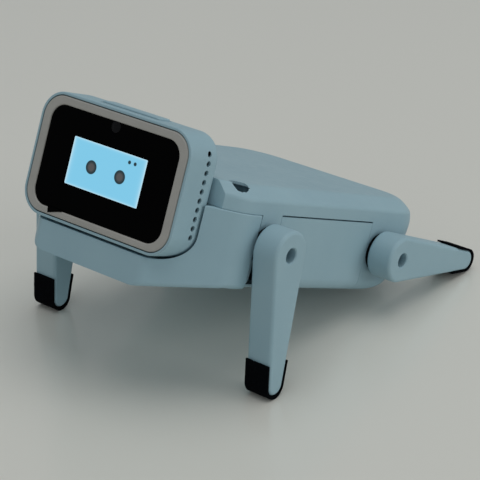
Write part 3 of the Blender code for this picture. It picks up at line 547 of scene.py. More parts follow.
def board_look():
    """Green solder mask with lighter copper tracks under it."""
    look, tree, shader, place = new_look("circuit board", (0.01, 0.09, 0.04), 0.35)
    tracks = add_node(tree, "TexBrick", [("Vector", place)], Scale=600.0)
    tracks.inputs["Color1"].default_value = (0.010, 0.085, 0.035, 1)
    tracks.inputs["Color2"].default_value = (0.014, 0.110, 0.045, 1)
    tracks.inputs["Mortar"].default_value = (0.020, 0.150, 0.060, 1)
    tree.links.new(tracks.outputs["Color"], shader.inputs["Base Color"])
    emboss(tree, shader, [(mottle(tree, place, 800.0), 0.2, 0.02 * MM)])
    return look


def glass_look():
    """Black-backed cover glass with faint smears."""
    look, tree, shader, place = new_look("black glass", (0.0003, 0.0003, 0.0004), 0.08, specular=0.03)
    mottle_roughness(tree, shader, place, 130.0, 0.04, 0.13, 6.0)
    mottle_colour(tree, shader, place, 60.0, (0.0002, 0.0002, 0.0003), (0.0005, 0.0005, 0.0006))
    return look


def maths(tree, operation, first, second=None):
    node = tree.nodes.new("ShaderNodeMath")
    node.operation = operation
    for socket, value in ((0, first), (1, second)):
        if isinstance(value, (int, float)):
            node.inputs[socket].default_value = value
        elif value is not None:
            tree.links.new(value, node.inputs[socket])
    return node.outputs[0]


def disc_mask(tree, axes, centre_y, centre_z, radius, edge):
    """1 inside a disc on the screen's face and 0 outside it, with a soft edge."""
    across = maths(tree, "SUBTRACT", axes["Y"], centre_y)
    up = maths(tree, "SUBTRACT", axes["Z"], centre_z)
    squares = [maths(tree, "MULTIPLY", value, value) for value in (across, up)]
    distance = maths(tree, "SQRT", maths(tree, "ADD", *squares))
    inside = maths(tree, "DIVIDE", maths(tree, "SUBTRACT", radius, distance), edge)
    node = add_node(tree, "Clamp", [("Value", maths(tree, "ADD", inside, 0.5))])
    return node.outputs["Result"]


def screen_look():
    """The lit display: a sky blue field with two plain eyes and two status dots."""
    look, tree, shader, place = new_look("lit display", (0.02, 0.02, 0.02), 0.12, specular=0.3)
    parts = add_node(tree, "SeparateXYZ", [("Vector", place)])
    axes = {name: parts.outputs[name] for name in "XYZ"}
    discs = [(y, EYE_Z, EYE_RADIUS) for y in EYE_Y] + [(y, DOT_Z, DOT_RADIUS) for y in DOT_Y]
    mask = None
    for y, z, radius in discs:
        disc = disc_mask(tree, axes, y, z, radius, 0.12 * MM)
        mask = disc if mask is None else maths(tree, "MAXIMUM", mask, disc)
    across = maths(tree, "ABSOLUTE", maths(tree, "DIVIDE", axes["Y"], SCREEN_HALF[0]))
    up = maths(tree, "DIVIDE", maths(tree, "SUBTRACT", axes["Z"], SCREEN_CENTRE_Z), SCREEN_HALF[1])
    edge = maths(tree, "MAXIMUM", across, maths(tree, "ABSOLUTE", up))
    glow = maths(tree, "POWER", edge, 26.0)
    field = blend_colours(tree, glow, (0.205, 0.570, 0.790), (0.560, 0.800, 0.900))
    colour = blend_colours(tree, mask, field, (0.010, 0.028, 0.036))
    for y in EYE_Y:
        centre = disc_mask(tree, axes, y, EYE_Z, EYE_CENTRE_RADIUS, 0.5 * MM)
        colour = blend_colours(tree, centre, colour, (0.070, 0.070, 0.072))
    tree.links.new(colour, shader.inputs["Emission Color"])
    shader.inputs["Emission Strength"].default_value = 1.0
    return look


LOOKS = {
    "shell": printed_look("pale blue print", "Z"),
    "head": printed_look("pale blue head print", "X"),
    "leg": printed_look("pale blue leg print", "Y"),
    "bezel": plastic_look("warm grey plastic", (0.385, 0.380, 0.355), (0.425, 0.418, 0.390), 0.45),
    "black": plastic_look("black plastic", (0.010, 0.010, 0.011), (0.018, 0.018, 0.02), 0.45),
    "nylon": plastic_look("dark nylon", (0.015, 0.015, 0.016), (0.025, 0.025, 0.027), 0.5),
    "cell": plastic_look(
        "silver pouch", (0.38, 0.38, 0.40), (0.50, 0.50, 0.52), 0.35, grain=300.0, depth=0.1 * MM
    ),
    "film": plastic_look("grey film", (0.42, 0.42, 0.44), (0.50, 0.50, 0.52), 0.35),
    "steel": metal_look("plated steel", (0.50, 0.50, 0.51), 0.35),
    # Blackened steel, a real finish; on the shoulder screws its darkness also paints the shade deep in
    # their holes.
    "dark_steel": metal_look("blackened steel", (0.06, 0.07, 0.075), 0.45),
    "foam": foam_look(),
    "board": board_look(),
    "glass": glass_look(),
    "screen": screen_look(),
    "lens": plastic_look(
        "lens glass", (0.002, 0.002, 0.003), (0.005, 0.005, 0.006), 0.25, specular=0.12
    ),
}


# -------- the body's form

BELLY_Z = BELLY_LOW.z
TAIL_X = SHELL_LOW.x
TOP_Z = SHELL_HIGH.z
SEAM_X = CHEST_LOW.x
SEAM_Z = CHEST_HIGH.z
PANEL_REAR_X = BELLY_LOW.x
HEAD_WALL_X = HEAD_LOW.x - WALL - SEAM_GAP


def tail_x(z, shrink):
    """How far back the body reaches at a height: the tail rounds up from the belly."""
    centre_x, centre_z = TAIL_X + TAIL_RADIUS, BELLY_Z + TAIL_RADIUS
    below = max(0.0, centre_z - z)
    radius = TAIL_RADIUS - shrink
    return centre_x - math.sqrt(max(0.0, radius * radius - below * below))


def tail_inset(z, shrink):
    """How far the tail draws in at a height, where it rounds over to the back."""
    radius = TAIL_TOP_RADIUS - shrink
    above = min(max(0.0, z - (TOP_Z - TAIL_TOP_RADIUS)), radius)
    return min(radius - math.sqrt(radius * radius - above * above), radius - LEAST_RADIUS)


def body_plan(z, side, taper, shrink):
    """The body's plan at a height, with its sides, tapered front and tail moved in."""
    back = tail_x(z, shrink)
    rear = tail_inset(z, shrink)
    share = min(1.0, (z - BELLY_Z) / REAR_RADIUS_RISE)
    radius = LOW_REAR_RADIUS + (REAR_RADIUS - LOW_REAR_RADIUS) * share
    corners = [(CHIN_X, CHIN_HALF, CHIN_RADIUS), (TAPER_X, HALF_WIDTH, TAPER_RADIUS)]
    corners += [(back, HALF_WIDTH, radius), (back, -HALF_WIDTH, radius)]
    corners += [(TAPER_X, -HALF_WIDTH, TAPER_RADIUS), (CHIN_X, -CHIN_HALF, CHIN_RADIUS)]
    return rounded(inset(corners, [taper, taper, side, rear, side, taper]))


def shoulder_profile(shrink):
    """(drawn in, height) pairs over the two soft creases between the sides and the back."""
    low, high = SHOULDER_Z - shrink * 0.6, TOP_Z - shrink
    slope = Vector((TOP_INSET, high - low)).normalized()
    first, second = Vector((0, low)), Vector((TOP_INSET, high))
    soft, softer = CREASE_BENDS
    points = bend(first - Vector((0, soft)), first, first + slope * soft)
    ends = first + slope * soft, second - slope * softer
    points += [ends[0].lerp(ends[1], share) for share in (0.2, 0.4, 0.6, 0.8)]
    return points + bend(ends[1], second, second + Vector((softer, 0)), 10)


def body_block(bm, shrink=0.0):
    """The body's full outer form, or the same form moved in all round."""
    low = BELLY_Z + shrink
    sections = []
    for drawn_in, height in quarter(BELLY_FILLET - shrink, 8):
        moved = drawn_in + shrink
        sections.append((body_plan(low + height, moved, moved, shrink), low + height))
    z = sections[-1][1] + RING_RISE
    while z < SHOULDER_Z - RING_RISE:
        sections.append((body_plan(z, shrink, shrink, shrink), z))
        z += RING_RISE
    for drawn_in, z in shoulder_profile(shrink):
        side = shrink + drawn_in
        taper = shrink + drawn_in * TAPER_INSET_SHARE
        sections.append((body_plan(z, side, taper, shrink), z))
    add_loft(bm, "z", sections)


def chest_floor(x):
    """The height of the chest's underside: flat like the belly, then down to the chin."""
    slope = (CHEST_LOW.z - BELLY_Z) / (CHIN_X - TAPER_X)
    return BELLY_Z + slope * max(0.0, x - TAPER_X)


def chest_block(bm):
    """The chest's full outer form, with soft edges below and a small round along the top.

    Its floor is flat under the belly and slopes up to the chin, so that face is split where it bends.
    """
    corners = [(CHIN_X, CHIN_HALF, CHIN_RADIUS), (TAPER_X, HALF_WIDTH, TAPER_RADIUS)]
    corners += [(CHEST_CORNER_X, HALF_WIDTH, MM), (CHEST_CORNER_X, -HALF_WIDTH, MM)]
    corners += [(TAPER_X, -HALF_WIDTH, TAPER_RADIUS), (CHIN_X, -CHIN_HALF, CHIN_RADIUS)]

    def plan(drawn_in):
        return rounded(inset(corners, [0.0] + [drawn_in - CHEST_PROUD] * 5), 18)

    rings = []
    for drawn_in, height in quarter(CHIN_FILLET):
        rings.append([(x, y, chest_floor(x) + height) for x, y in plan(drawn_in)])
    for drawn_in, height in reversed(quarter(CHEST_PROUD)):
        rings.append([(x, y, SEAM_Z - height) for x, y in plan(drawn_in)])
    loops = add_rings(bm, rings)
    bottom = loops[0]
    near = []
    for _, side in SIDES:
        row = [vertex for vertex in bottom if vertex.co.y * side > 0]
        near.append(min(row, key=lambda vertex: abs(vertex.co.x - TAPER_X)))
    floor = [face for face in near[0].link_faces if len(face.verts) == len(bottom)][0]
    bmesh.utils.face_split(floor, near[0], near[1])


def panel_region(bm, side_gap=0.0, slot=0.0):
    """The space of the bottom cover: the belly, and the side panels between the legs."""
    rear, front = PANEL_REAR_X - side_gap, PANEL_FRONT_X + side_gap
    seam, notch, top = SEAM_X - SEAM_GAP, NOTCH_BOTTOM_Z + side_gap, SEAM_Z + slot
    outline = [(rear, -FAR), (seam, -FAR), (seam, notch), (front, notch), (front, top), (rear, top)]
    add_prism(bm, "y", outline, *EVERYWHERE)


def hip_openings(bm):
    """A round hole at each hip, with a narrow slot down from it at the front."""
    half, bottom, steps = HIP_SLOT_HALF, NOTCH_BOTTOM_Z - MM, 48
    start = -math.acos(half / HIP_HOLE_RADIUS)
    turns = [start + (math.pi - 2 * start) * step / steps for step in range(steps + 1)]
    arc = [(HIP_HOLE_RADIUS * math.cos(turn), HIP_HOLE_RADIUS * math.sin(turn)) for turn in turns]
    for _, side in SIDES:
        ends = sorted((side * (HALF_WIDTH - 4 * MM), side * (HALF_WIDTH + MM)))
        add_prism(bm, "y", circle(REAR_AXLE_X, 0, HIP_HOLE_RADIUS, 64), *ends)
        add_prism(bm, "y", [(half, bottom), *arc, (-half, bottom)], *ends)


def shell_from_body(name):
    """The body's outer form, hollow up to the wall behind the head."""
    made = built(name, body_block)
    hollow = built("hollow", lambda bm: body_block(bm, WALL))
    cut(hollow, lambda tool: add_box(tool, (HEAD_WALL_X, FAR), EVERYWHERE, EVERYWHERE))
    carve(made, hollow)
    return made


def shoulder_pocket(bm, side):
    """The room round a shoulder screw, under the roof."""
    x, y = (at + shift for at, shift in zip(SHOULDER_SCREW, SHOULDER_POCKET_SHIFT))
    outline = circle(x, side * y, SHOULDER_POCKET_RADIUS)
    add_prism(bm, "z", outline, SEAM_Z - MM, SHOULDER_POCKET_TOP)


def shoulder_hole(bm, side):
    """A shoulder screw's hole, with the ragged lip that drilling a print leaves."""
    x, y = (at + shift for at, shift in zip(SHOULDER_SCREW, SHOULDER_HOLE_SHIFT))
    sections = []
    for step in range(8):
        outline = []
        for a, b in circle(0, 0, 1.0, 56):
            rough = noise.noise(Vector((a * 3.1, b * 3.1, step * 0.9))) * 0.2 * MM
            fine = noise.noise(Vector((a * 11.0, b * 11.0, step * 2.0))) * 0.1 * MM
            radius = SHOULDER_HOLE_RADIUS + rough + fine
            outline.append((x + a * radius, side * (y + b * radius)))
        sections.append((outline[::side], SEAM_Z + MM + step * SHOULDER_HOLE_STEP))
    add_loft(bm, "z", sections)


def make_top_shell():
    """The back of the body, open over the chest, the belly and the side panels."""
    made = shell_from_body("back_shell")
    chest_x, chest_top = SEAM_X - 2 * SEAM_GAP, SEAM_Z + CHEST_TOP_GAP
    cut(made, lambda bm: add_box(bm, (HEAD_LOW.x - SEAM_GAP, FAR), EVERYWHERE, EVERYWHERE))
    cut(made, lambda bm: add_box(bm, (chest_x, FAR), EVERYWHERE, (-FAR, chest_top)))
    cut(made, lambda bm: panel_region(bm, PANEL_GAP, SLOT_HEIGHT))
    cut(made, hip_openings)

    def holes(bm):
        pad = SEAM_GAP / 2
        for low, high, reach in ((USB_LOW, USB_HIGH, 0.0), (SLIDER_LOW, SLIDER_HIGH, SLIDER_TRAVEL_ROOM)):
            y = (low.y - pad - reach * 0.45, high.y + pad + reach * 1.1)
            add_box(bm, (TAIL_X - MM, TAIL_X + 3 * MM), y, (low.z - pad, high.z + pad))

    cut(made, holes)
    soften(made, 0.08 * MM)
    for _, side in SIDES:
        cut(made, lambda bm, side=side: shoulder_pocket(bm, side))
        cut(made, lambda bm, side=side: shoulder_hole(bm, side))
    dress(made, LOOKS["shell"], node="top_shell")


def make_bottom_cover():
    """The belly and the side panels, with sunk holes for its four screws."""
    made = shell_from_body("belly_cover")
    cut(made, panel_region, "INTERSECT")
    cut(made, hip_openings)

    def holes(bm):
        for name, _, _ in LEGS:
            low, high = span("belly_screw_" + name)
            centre = (low + high) / 2
            outline = circle(centre.x, centre.y, BELLY_SCREW_HOLE, 32)
            add_prism(bm, "z", outline, BELLY_Z - MM, BELLY_Z + BELLY_SCREW_DEPTH)

    cut(made, holes)
    soften(made, 0.1 * MM)
    dress(made, LOOKS["shell"], node="bottom_cover")


def make_front_cover():
    """The chest and chin, hollow behind the head and with a seat that the head stands in."""
    made = built("chest_cover", chest_block)
    cut(made, lambda tool: add_box(tool, (-FAR, SEAM_X), EVERYWHERE, EVERYWHERE))

    def hollow(tool):
        half = HALF_WIDTH - WALL
        outline = [(-FAR, -half), (TAPER_X - MM, -half), (HEAD_WALL_X, -half + 5 * MM)]
        outline += [(a, -b) for a, b in reversed(outline)]
        add_prism(tool, "z", outline, BELLY_Z + WALL, FAR)

    cut(made, hollow)
    seat = round_rectangle(
        HEAD_HIGH.y + SEAT_GAP, HEAD_LOW.z - SEAT_GAP, HEAD_HIGH.z + SEAT_GAP, HEAD_RADIUS + SEAT_GAP
    )
    cut(made, lambda tool: add_prism(tool, "x", seat, HEAD_LOW.x - SEAM_GAP, 0.04))
    soften(made, 0.12 * MM)
    dress(made, LOOKS["shell"], node="front_cover")


# -------- head


head_outline = shrinking(HEAD_HIGH.y, HEAD_LOW.z, HEAD_HIGH.z, HEAD_RADIUS, 16)


def vent_strip(drawn_in):
    """The outline of the black strip behind the vents, which paints the shade inside the head."""
    half = VENT_STRIP_HALF - drawn_in
    low, high = VENT_LOW_Z - half, VENT_LOW_Z + (VENT_COUNT - 1) * VENT_PITCH + half
    corners = [(half, low), (half, high), (-half, high), (-half, low)]
    return rounded([(VENT_X + a, b, half * 0.95) for a, b in corners], 8)


def make_vent_shade_sheet(name, side):
    """A black foam strip let into the head's wall behind the vents: painted shade for the dark inside of
    the head seen through them.
    """
    ends = sorted((side * (HEAD_HIGH.y - HEAD_WALL), side * (HEAD_HIGH.y - VENT_WALL - TOUCH)))

    def strip(bm):
        rounded_block(bm, "y", lambda d: vent_strip(d + TOUCH), *ends, 0.1 * MM, 3)

    made = built("vent_shade_sheet_" + name, strip)
    dress(made, LOOKS["foam"])


def make_head():
    """The head's cup, with its rebate for the ring, its vents and the button's slot."""
    front = HEAD_HIGH.x
    sections = [(head_outline(d), HEAD_LOW.x + h) for d, h in quarter(HEAD_BACK_ROUND, 9)]
    sections += [(head_outline(d), front - h) for d, h in reversed(quarter(HEAD_FRONT_ROUND, 4))]
    made = built("head_case", lambda bm: add_loft(bm, "x", sections))
    rebate_x = front - BEZEL_DEPTH - BEZEL_GAP
    steps = [(HEAD_WALL, HEAD_LOW.x + HEAD_WALL), (HEAD_WALL, rebate_x), (RIM, rebate_x), (RIM, front + MM)]
    cut(made, lambda tool: add_loft(tool, "x", [(head_outline(d), x) for d, x in steps]))

    def holes(tool):
        gap = BUTTON_GAP
        x, y = (BUTTON_X[0] - gap, BUTTON_X[1] + 2 * gap), (BUTTON_LOW.y - gap, BUTTON_HIGH.y + gap)
        add_box(tool, x, y, (HEAD_HIGH.z - 3 * MM, HEAD_HIGH.z + MM))
        for index in range(VENT_COUNT):
            for _, side in SIDES:
                ends = sorted((side * (HEAD_HIGH.y - MM), side * (HEAD_HIGH.y + MM)))
                vent = circle(VENT_X, VENT_LOW_Z + index * VENT_PITCH, VENT_RADIUS, 20)
                add_prism(tool, "y", vent, *ends)

    # Pockets in the wall for the black strips that paint the shade behind the vents.
    for _, side in SIDES:
        ends = sorted((side * (HEAD_HIGH.y - 3 * MM), side * (HEAD_HIGH.y - VENT_WALL)))
        cut(made, lambda tool, ends=ends: add_prism(tool, "y", vent_strip(0.0), *ends))
    cut(made, holes)
    soften(made, 0.06 * MM)
    dress(made, LOOKS["head"], node="head_housing")


def make_button():
    """The raised bar on top of the head."""
    x, half = BUTTON_X, BUTTON_HIGH.y
    corners = [(x[1], -half), (x[1], half), (x[0], half), (x[0], -half)]

    def outline(drawn_in):
        moved = inset([(a, b, BUTTON_RADIUS) for a, b in corners], [drawn_in] * 4)
        return rounded(moved, 8)

    ends = (HEAD_HIGH.z - HEAD_WALL, HEAD_HIGH.z + BUTTON_PROUD)
    made = built("button_bar", lambda bm: rounded_block(bm, "z", outline, *ends, 0.35 * MM))
    dress(made, LOOKS["head"], "button", "head_button")


def make_bezel():
    """The ring round the glass: a flat face with rounded outer and inner edges."""
    front, back = HEAD_HIGH.x + BEZEL_PROUD, HEAD_HIGH.x - BEZEL_DEPTH
    outer, edge = RIM + BEZEL_GAP, quarter(BEZEL_EDGE, 5)
    low, high = GLASS_LOW.z - GLASS_GAP, GLASS_HIGH.z + GLASS_GAP
    inner_outline = shrinking(GLASS_HIGH.y + GLASS_GAP, low, high, GLASS_RADIUS, 16)
    path = [(head_outline(outer), back)]
    path += [(head_outline(outer + d), front - h) for d, h in reversed(edge)]
    path += [(inner_outline(-d), front - h) for d, h in edge]
    path.append((inner_outline(0.0), back))
    bm = bmesh.new()
    rings = [[(x, a, b) for a, b in outline] for outline, x in path]
    loops = add_rings(bm, rings, cap=False)
    first, last = loops[0], loops[-1]
    for index in range(len(first)):
        ahead = (index + 1) % len(first)
        bm.faces.new((last[index], last[ahead], first[ahead], first[index]))
    bmesh.ops.recalc_face_normals(bm, faces=bm.faces)
    made = loose("face_ring", bm, BODY)
    dress(made, LOOKS["bezel"], node="head_bezel")


def make_glass():
    """The black glass, with the window that the display is seen through."""
    front = GLASS_HIGH.x
    outline = shrinking(GLASS_HIGH.y, GLASS_LOW.z, GLASS_HIGH.z, GLASS_RADIUS, 16)
    ends = (GLASS_LOW.x, front)
    made = built("cover_glass", lambda bm: rounded_block(bm, "x", outline, *ends, 0.15 * MM))
    half_y, half_z = SCREEN_HALF
    z = (SCREEN_CENTRE_Z - half_z, SCREEN_CENTRE_Z + half_z)
    x = (front - WINDOW_DEPTH, front + MM)
    cut(made, lambda tool: add_box(tool, x, (-half_y, half_y), z))
    dress(made, LOOKS["glass"], node="screen_glass")


def make_display():
    """The lit face of the display, just under the surface of the glass."""
    half_y, half_z = SCREEN_HALF[0] - TOUCH, SCREEN_HALF[1] - TOUCH
    low, high = SCREEN_CENTRE_Z - half_z, SCREEN_CENTRE_Z + half_z
    outline = shrinking(half_y, low, high, SCREEN_RADIUS, 4)
    ends = (GLASS_HIGH.x - TOUCH - SCREEN_THICK, GLASS_HIGH.x - TOUCH)
    made = built("lit_display", lambda bm: rounded_block(bm, "x", outline, *ends, 0.01 * MM, 2))
    dress(made, LOOKS["screen"], node="display_panel")


def make_lens():
    """The camera's lens behind the glass: a thin ring round a small dome."""
    ring = [(1.3, -0.1), (1.3, 0.0), (1.25, 0.03), (1.12, 0.03), (1.07, 0.0), (0.9, 0.01)]
    profile = [(radius * MM, height * MM) for radius, height in ring]
    for turn in (0, 0.4, 0.8, 1.2, 1.5):
        profile.append((LENS_RADIUS * math.cos(turn), TOUCH + LENS_DOME * math.sin(turn)))
    profile = [(radius, GLASS_HIGH.x + height) for radius, height in profile]
    made = built("camera_lens", lambda bm: add_turned(bm, "x", (0, LENS_Z), profile, 48))
    dress(made, LOOKS["lens"])


def make_film():
    """A corner of loose black film that sticks out over the ring at the glass's lower corner."""
    face = HEAD_HIGH.x + BEZEL_PROUD + TOUCH
    y, z, top = FILM_Y, GLASS_LOW.z, GLASS_LOW.z + 0.3 * MM
    corners = [(y, top), (y + 0.3 * MM, z - FILM_DROP), (y + FILM_LENGTH, z - 0.05 * MM)]
    corners.append((y + FILM_LENGTH, top))
    bm = bmesh.new()
    outline = rounded([(a, b, 0.05 * MM) for a, b in corners], 4)
    add_prism(bm, "x", outline, face, face + FILM_THICK)
    bmesh.ops.triangulate(bm, faces=bm.faces)
    made = loose("film_corner", bm, BODY)
    dress(made, LOOKS["glass"])


# -------- legs


def leg_sizes(name):
    """A leg's hip radius, axle to foot length, taper and sides, and its pad's lowest and highest z."""
    low, high = span("leg_" + name, LEG_FRAMES[name])
    pad_low, pad_high = span("foot_pad_" + name, LEG_FRAMES[name])
    length = -low.z - FOOT_RADIUS
    lean = math.asin((high.z - FOOT_RADIUS) / length)
    return {"hip": high.z, "length": length, "lean": lean, "y": (low.y, high.y),
            "pad_z": (pad_low.z, pad_high.z)}


def leg_outline(size, grow):
    """The tapered leg from its side: a big round at the hip and a small one at the foot."""
    lean, points, steps = size["lean"], [], 32
    for centre, radius, start, sweep in (
        (0.0, size["hip"], -lean, math.pi + 2 * lean),
        (-size["length"], FOOT_RADIUS, math.pi + lean, math.pi - 2 * lean),
    ):
        for step in range(steps + 1):
            turn = start + sweep * step / steps
            points.append(((radius + grow) * math.cos(turn), (radius + grow) * math.sin(turn) + centre))
    return points


def make_leg(name, side):
    """A leg with a recess for the servo's horn inside and its screw's round hole outside."""
    size = leg_sizes(name)
    low, high = size["y"]
    inner, outer = sorted((abs(low), abs(high)))
    bm = bmesh.new()
    rounded_block(bm, "y", lambda d: leg_outline(size, -d), low, high, LEG_FILLET, 7)
    made = loose("limb_" + name, bm, LEG_FRAMES[name])
    recess = inner + HORN_RECESS_DEPTH
    web, mouth = recess + LEG_WEB, LEG_BORE + LEG_BORE_CHAMFER
    bore = [(HORN_RECESS_RADIUS, inner - MM), (HORN_RECESS_RADIUS, recess)]
    bore += [(LEG_SCREW_HOLE, recess), (LEG_SCREW_HOLE, web), (LEG_BORE, web)]
    bore += [(LEG_BORE, outer - 0.25 * MM), (mouth, outer + 0.05 * MM), (mouth, outer + MM)]
    cut(made, lambda tool: add_turned(tool, "y", (0, 0), [(r, side * y) for r, y in bore], 48))
    dress(made, LOOKS["leg"], "leg_" + name, "leg_" + name)


def sole_path(size):
    """(point, outward direction) pairs up one side of the foot, round its tip and up the other."""
    lean, foot_z = size["lean"], -size["length"]
    reach = size["pad_z"][1] - foot_z
    arc_steps, run = 28, 12
    turns = [math.pi + lean + (math.pi - 2 * lean) * step / arc_steps for step in range(arc_steps + 1)]
    path = []
    for turn in turns:
        out = (math.cos(turn), math.sin(turn))
        path.append(((FOOT_RADIUS * out[0], foot_z + FOOT_RADIUS * out[1]), out))
    sides = []
    for (x, z), out in (path[0], path[-1]):
        up = (-out[1], out[0]) if out[0] > 0 else (out[1], -out[0])
        length = (reach - (z - foot_z)) / up[1]
        rises = [length * step / run for step in range(1, run + 1)]
        sides.append([((x + up[0] * rise, z + up[1] * rise), out) for rise in rises])
    return sides[0][::-1] + path + sides[1]


def make_foot_pad(name):
    """A strip of foam bent round the foot: even in section, with slightly rough ends."""
    size = leg_sizes(name)
    outside = -size["pad_z"][0] - size["length"] - FOOT_RADIUS
    low_y, high_y = size["y"][0] + PAD_SIDE_INSET, size["y"][1] - PAD_SIDE_INSET
    path = sole_path(size)
    columns = 10
    rings = []
    for index, ((x, z), out) in enumerate(path):
        at_end = index in (0, len(path) - 1)
        share = PAD_SIDE_SHARE + (1 - PAD_SIDE_SHARE) * max(0.0, -out[1]) ** 2
        ring = []
        for outer, order in ((False, range(columns + 1)), (True, range(columns, -1, -1))):
            for column in order:
                y = low_y + (high_y - low_y) * column / columns
                rough = noise.noise(Vector((x, y, z)) * 900.0) * PAD_ROUGHNESS
                high = outside * share + rough - PAD_CLEARANCE if outer else PAD_GAP
                ragged = noise.noise(Vector((y * 700.0, index, 3.0))) * PAD_RAGGED if at_end else 0.0
                ring.append((x + out[0] * high, y, z + out[1] * high - abs(ragged)))
        rings.append(ring)
    made = built("foam_" + name, lambda bm: add_rings(bm, rings), LEG_FRAMES[name])
    dress(made, LOOKS["foam"], "leg_" + name, "foot_pad_" + name, 50)


# -------- screws and sockets


def make_screw(name, node, matrix, axis, way, body, size, look="dark_steel"):
    """A pan-head screw with a cross recess; its head looks along way on the axis."""
    radius, shank, head = size
    low, high = span(node, matrix)
    index = "xyz".index(axis)
    centre = [(low[i] + high[i]) / 2 for i in range(3) if i != index]
    tip, top = (low[index], high[index]) if way > 0 else (high[index], low[index])
    profile = [(shank * 0.4, tip), (shank, tip + way * shank), (shank, top - way * head)]
    for share, down in ((1.0, 1.0), (1.0, 0.55), (0.88, 0.2), (0.6, 0.0)):
        profile.append((radius * share, top - way * head * down))
    made = built(name, lambda bm: add_turned(bm, axis, centre, profile, 36), matrix)

    def recess(tool):
        wide, arm = radius * 0.14, radius * 0.62
        quarter_turn = [(wide, wide), (wide, arm), (-wide, arm)]
        outline = []
        for _ in range(4):
            outline += quarter_turn
            quarter_turn = [(-b, a) for a, b in quarter_turn]
        outline = [(centre[0] + a, centre[1] + b) for a, b in outline]
        add_prism(tool, axis, outline, *sorted((top - way * head * 0.5, top + way * MM)))

    cut(made, recess)
    dress(made, LOOKS[look], body, node)


def make_screws():
    for name, _, side in LEGS:
        leg, matrix = "leg_" + name, LEG_FRAMES[name]
        make_screw("horn_fixing_" + name, "leg_screw_" + name, matrix, "y", side, leg, LEG_SCREW)
        node = "belly_screw_" + name
        make_screw("belly_fixing_" + name, node, BODY, "z", -1, "body", BELLY_SCREW, "steel")
    # The shoulder screws keep the default blackened steel, which is partly painted shade for the depths of
    # their holes.
    for name, _ in SIDES:
        node = "shoulder_screw_" + name
        make_screw("shoulder_fixing_" + name, node, BODY, "z", 1, "body", SHOULDER_SCREW_SIZE)


def make_socket():
    """The charging socket: a folded metal shell with a tongue inside."""
    half, middle = (USB_HIGH.y - USB_LOW.y) / 2, (USB_HIGH.y + USB_LOW.y) / 2
    low, high = USB_LOW.z, USB_HIGH.z
    outline = shrinking(half, low, high, (high - low) / 2 * 0.9, 10, middle)
    ends = (USB_LOW.x, USB_HIGH.x)
    made = built("charge_socket", lambda bm: rounded_block(bm, "x", outline, *ends, 0.08 * MM, 3))
    deep = USB_HIGH.x - MM
    cut(made, lambda tool: add_prism(tool, "x", outline(SOCKET_SHEET), USB_LOW.x - MM, deep))
    dress(made, LOOKS["steel"], node="usb_port")

    def tongue(drawn_in):
        height = TONGUE_HALF_THICK - drawn_in
        wide, centre = half - TONGUE_SIDE_GAP - drawn_in, (low + high) / 2
        shape = round_rectangle(wide, centre - height, centre + height, 0.1 * MM, 4)
        return [(a + middle, b) for a, b in shape]

    ends = (USB_LOW.x + TONGUE_SET_BACK, deep + 0.3 * MM)
    made = built("socket_tongue", lambda bm: rounded_block(bm, "x", tongue, *ends, 0.08 * MM, 3))
    dress(made, LOOKS["black"])


def make_slider():
    """The switch's knob, with grip ridges across it."""
    low, high = SLIDER_LOW, SLIDER_HIGH
    half, middle = (high.y - low.y) / 2, (high.y + low.y) / 2
    outline = shrinking(half, low.z, high.z, KNOB_RADIUS, 4, middle)
    ends = (low.x, high.x)
    made = built("switch_knob", lambda bm: rounded_block(bm, "x", outline, *ends, 0.15 * MM, 3))

    def grooves(tool):
        x, z = (low.x - MM, low.x + GRIP_DEPTH), (low.z - MM, high.z + MM)
        for index in (-1, 0, 1):
            y = middle + index * GRIP_PITCH
            add_box(tool, x, (y - GRIP_HALF, y + GRIP_HALF), z)

    cut(made, grooves)
    dress(made, LOOKS["black"], "slider", "switch_slider")


# -------- the CAD nodes that stay

KEPT = {
    "servo_shaft_": "nylon",
    "servo_horn_": "nylon",
    "servo_screw_": "steel",
    "servo_": "black",
    "head_screw_": "steel",
    "camera_module": "black",
    "button_switch": "black",
    "speaker": "black",
    "main_board": "board",
    "power_board": "board",
    "power_switch": "steel",
    "battery": "cell",
    "ribbon_cable": "film",
}


def dress_kept_nodes():
    """Gives each CAD node that stays the look of the first KEPT name that it starts with."""
    for name, node in frame["nodes"].items():
        matches = [look for start, look in KEPT.items() if name.startswith(start)]
        if matches:
            node.data.materials.clear()
            node.data.materials.append(LOOKS[matches[0]])


# -------- studio


def make_floor():
    """A pale satin table top."""
    look, tree, shader, place = new_look("pale table", (0.80, 0.80, 0.74), 0.22, specular=1.0)
    mottle_colour(tree, shader, place, 3.0, (0.79, 0.79, 0.73), (0.81, 0.81, 0.75), 2.0)
    bm = bmesh.new()
    bmesh.ops.create_grid(bm, x_segments=8, y_segments=8, size=3.0)
    floor = loose("floor", bm, Matrix.Identity(4))
    floor.data.materials.append(look)


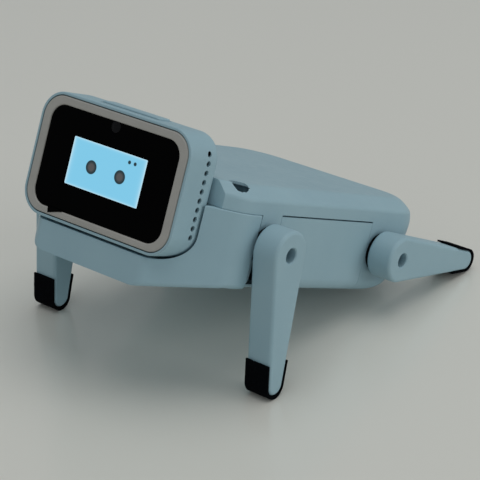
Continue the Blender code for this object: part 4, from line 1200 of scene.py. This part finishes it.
def make_light(name, place, size, power, colour):
    """A soft round light that looks at the middle of the robot's footprint."""
    data = bpy.data.lights.new(name, "AREA")
    data.shape = "DISK"
    data.size = size
    data.energy = power
    data.color = colour
    light = bpy.data.objects.new(name, data)
    bpy.context.scene.collection.objects.link(light)
    light.location = place
    light.rotation_euler = (-Vector(place)).to_track_quat("-Z", "Y").to_euler()


def make_world():
    world = bpy.data.worlds.new("studio")
    world.use_nodes = True
    background = world.node_tree.nodes["Background"]
    background.inputs["Color"].default_value = (0.93, 0.97, 1.0, 1.0)
    background.inputs["Strength"].default_value = 0.31
    bpy.context.scene.world = world


# The camera's place and directions, fitted to the photo's view.
CAMERA_FROM_AXLE = Vector((286.8, 261.45, 188.2)) * MM
CAMERA_AHEAD = Vector((-0.6853, -0.5718, -0.4511))
CAMERA_RIGHT = Vector((-0.6359, 0.7717, -0.0122))


def make_camera():
    data = bpy.data.cameras.new("camera")
    data.sensor_width = 36.0
    data.lens = 140.5
    data.clip_start = 0.01
    data.clip_end = 20.0
    camera = bpy.data.objects.new("camera", data)
    bpy.context.scene.collection.objects.link(camera)
    ahead = CAMERA_AHEAD.normalized()
    up = CAMERA_RIGHT.cross(ahead).normalized()
    turn = Matrix((ahead.cross(up), up, -ahead)).transposed().to_4x4()
    camera.matrix_world = Matrix.Translation(BODY.translation + CAMERA_FROM_AXLE) @ turn
    bpy.context.scene.camera = camera


def make_studio():
    make_camera()
    make_floor()
    make_world()
    make_light("overhead", (-0.1, 0.1, 1.2), 1.2, 4.6, (1.0, 0.99, 0.97))
    make_light("window", (-0.6, 1.35, 0.45), 1.0, 4.6, (1.0, 0.99, 0.98))
    make_light("fill", (1.6, 0.25, 0.5), 2.4, 1.9, (0.94, 0.98, 1.0))
    bpy.context.scene.view_settings.view_transform = "Standard"


# -------- assembly

make_studio()
make_top_shell()
make_bottom_cover()
make_front_cover()
make_head()
make_button()
make_bezel()
make_glass()
make_display()
make_lens()
make_film()
# The black strips behind the vents paint the shade inside the head.
for side_name, side_hand in SIDES:
    make_vent_shade_sheet(side_name, side_hand)
for leg_name, _, leg_side in LEGS:
    make_leg(leg_name, leg_side)
    make_foot_pad(leg_name)
make_screws()
make_socket()
make_slider()
dress_kept_nodes()
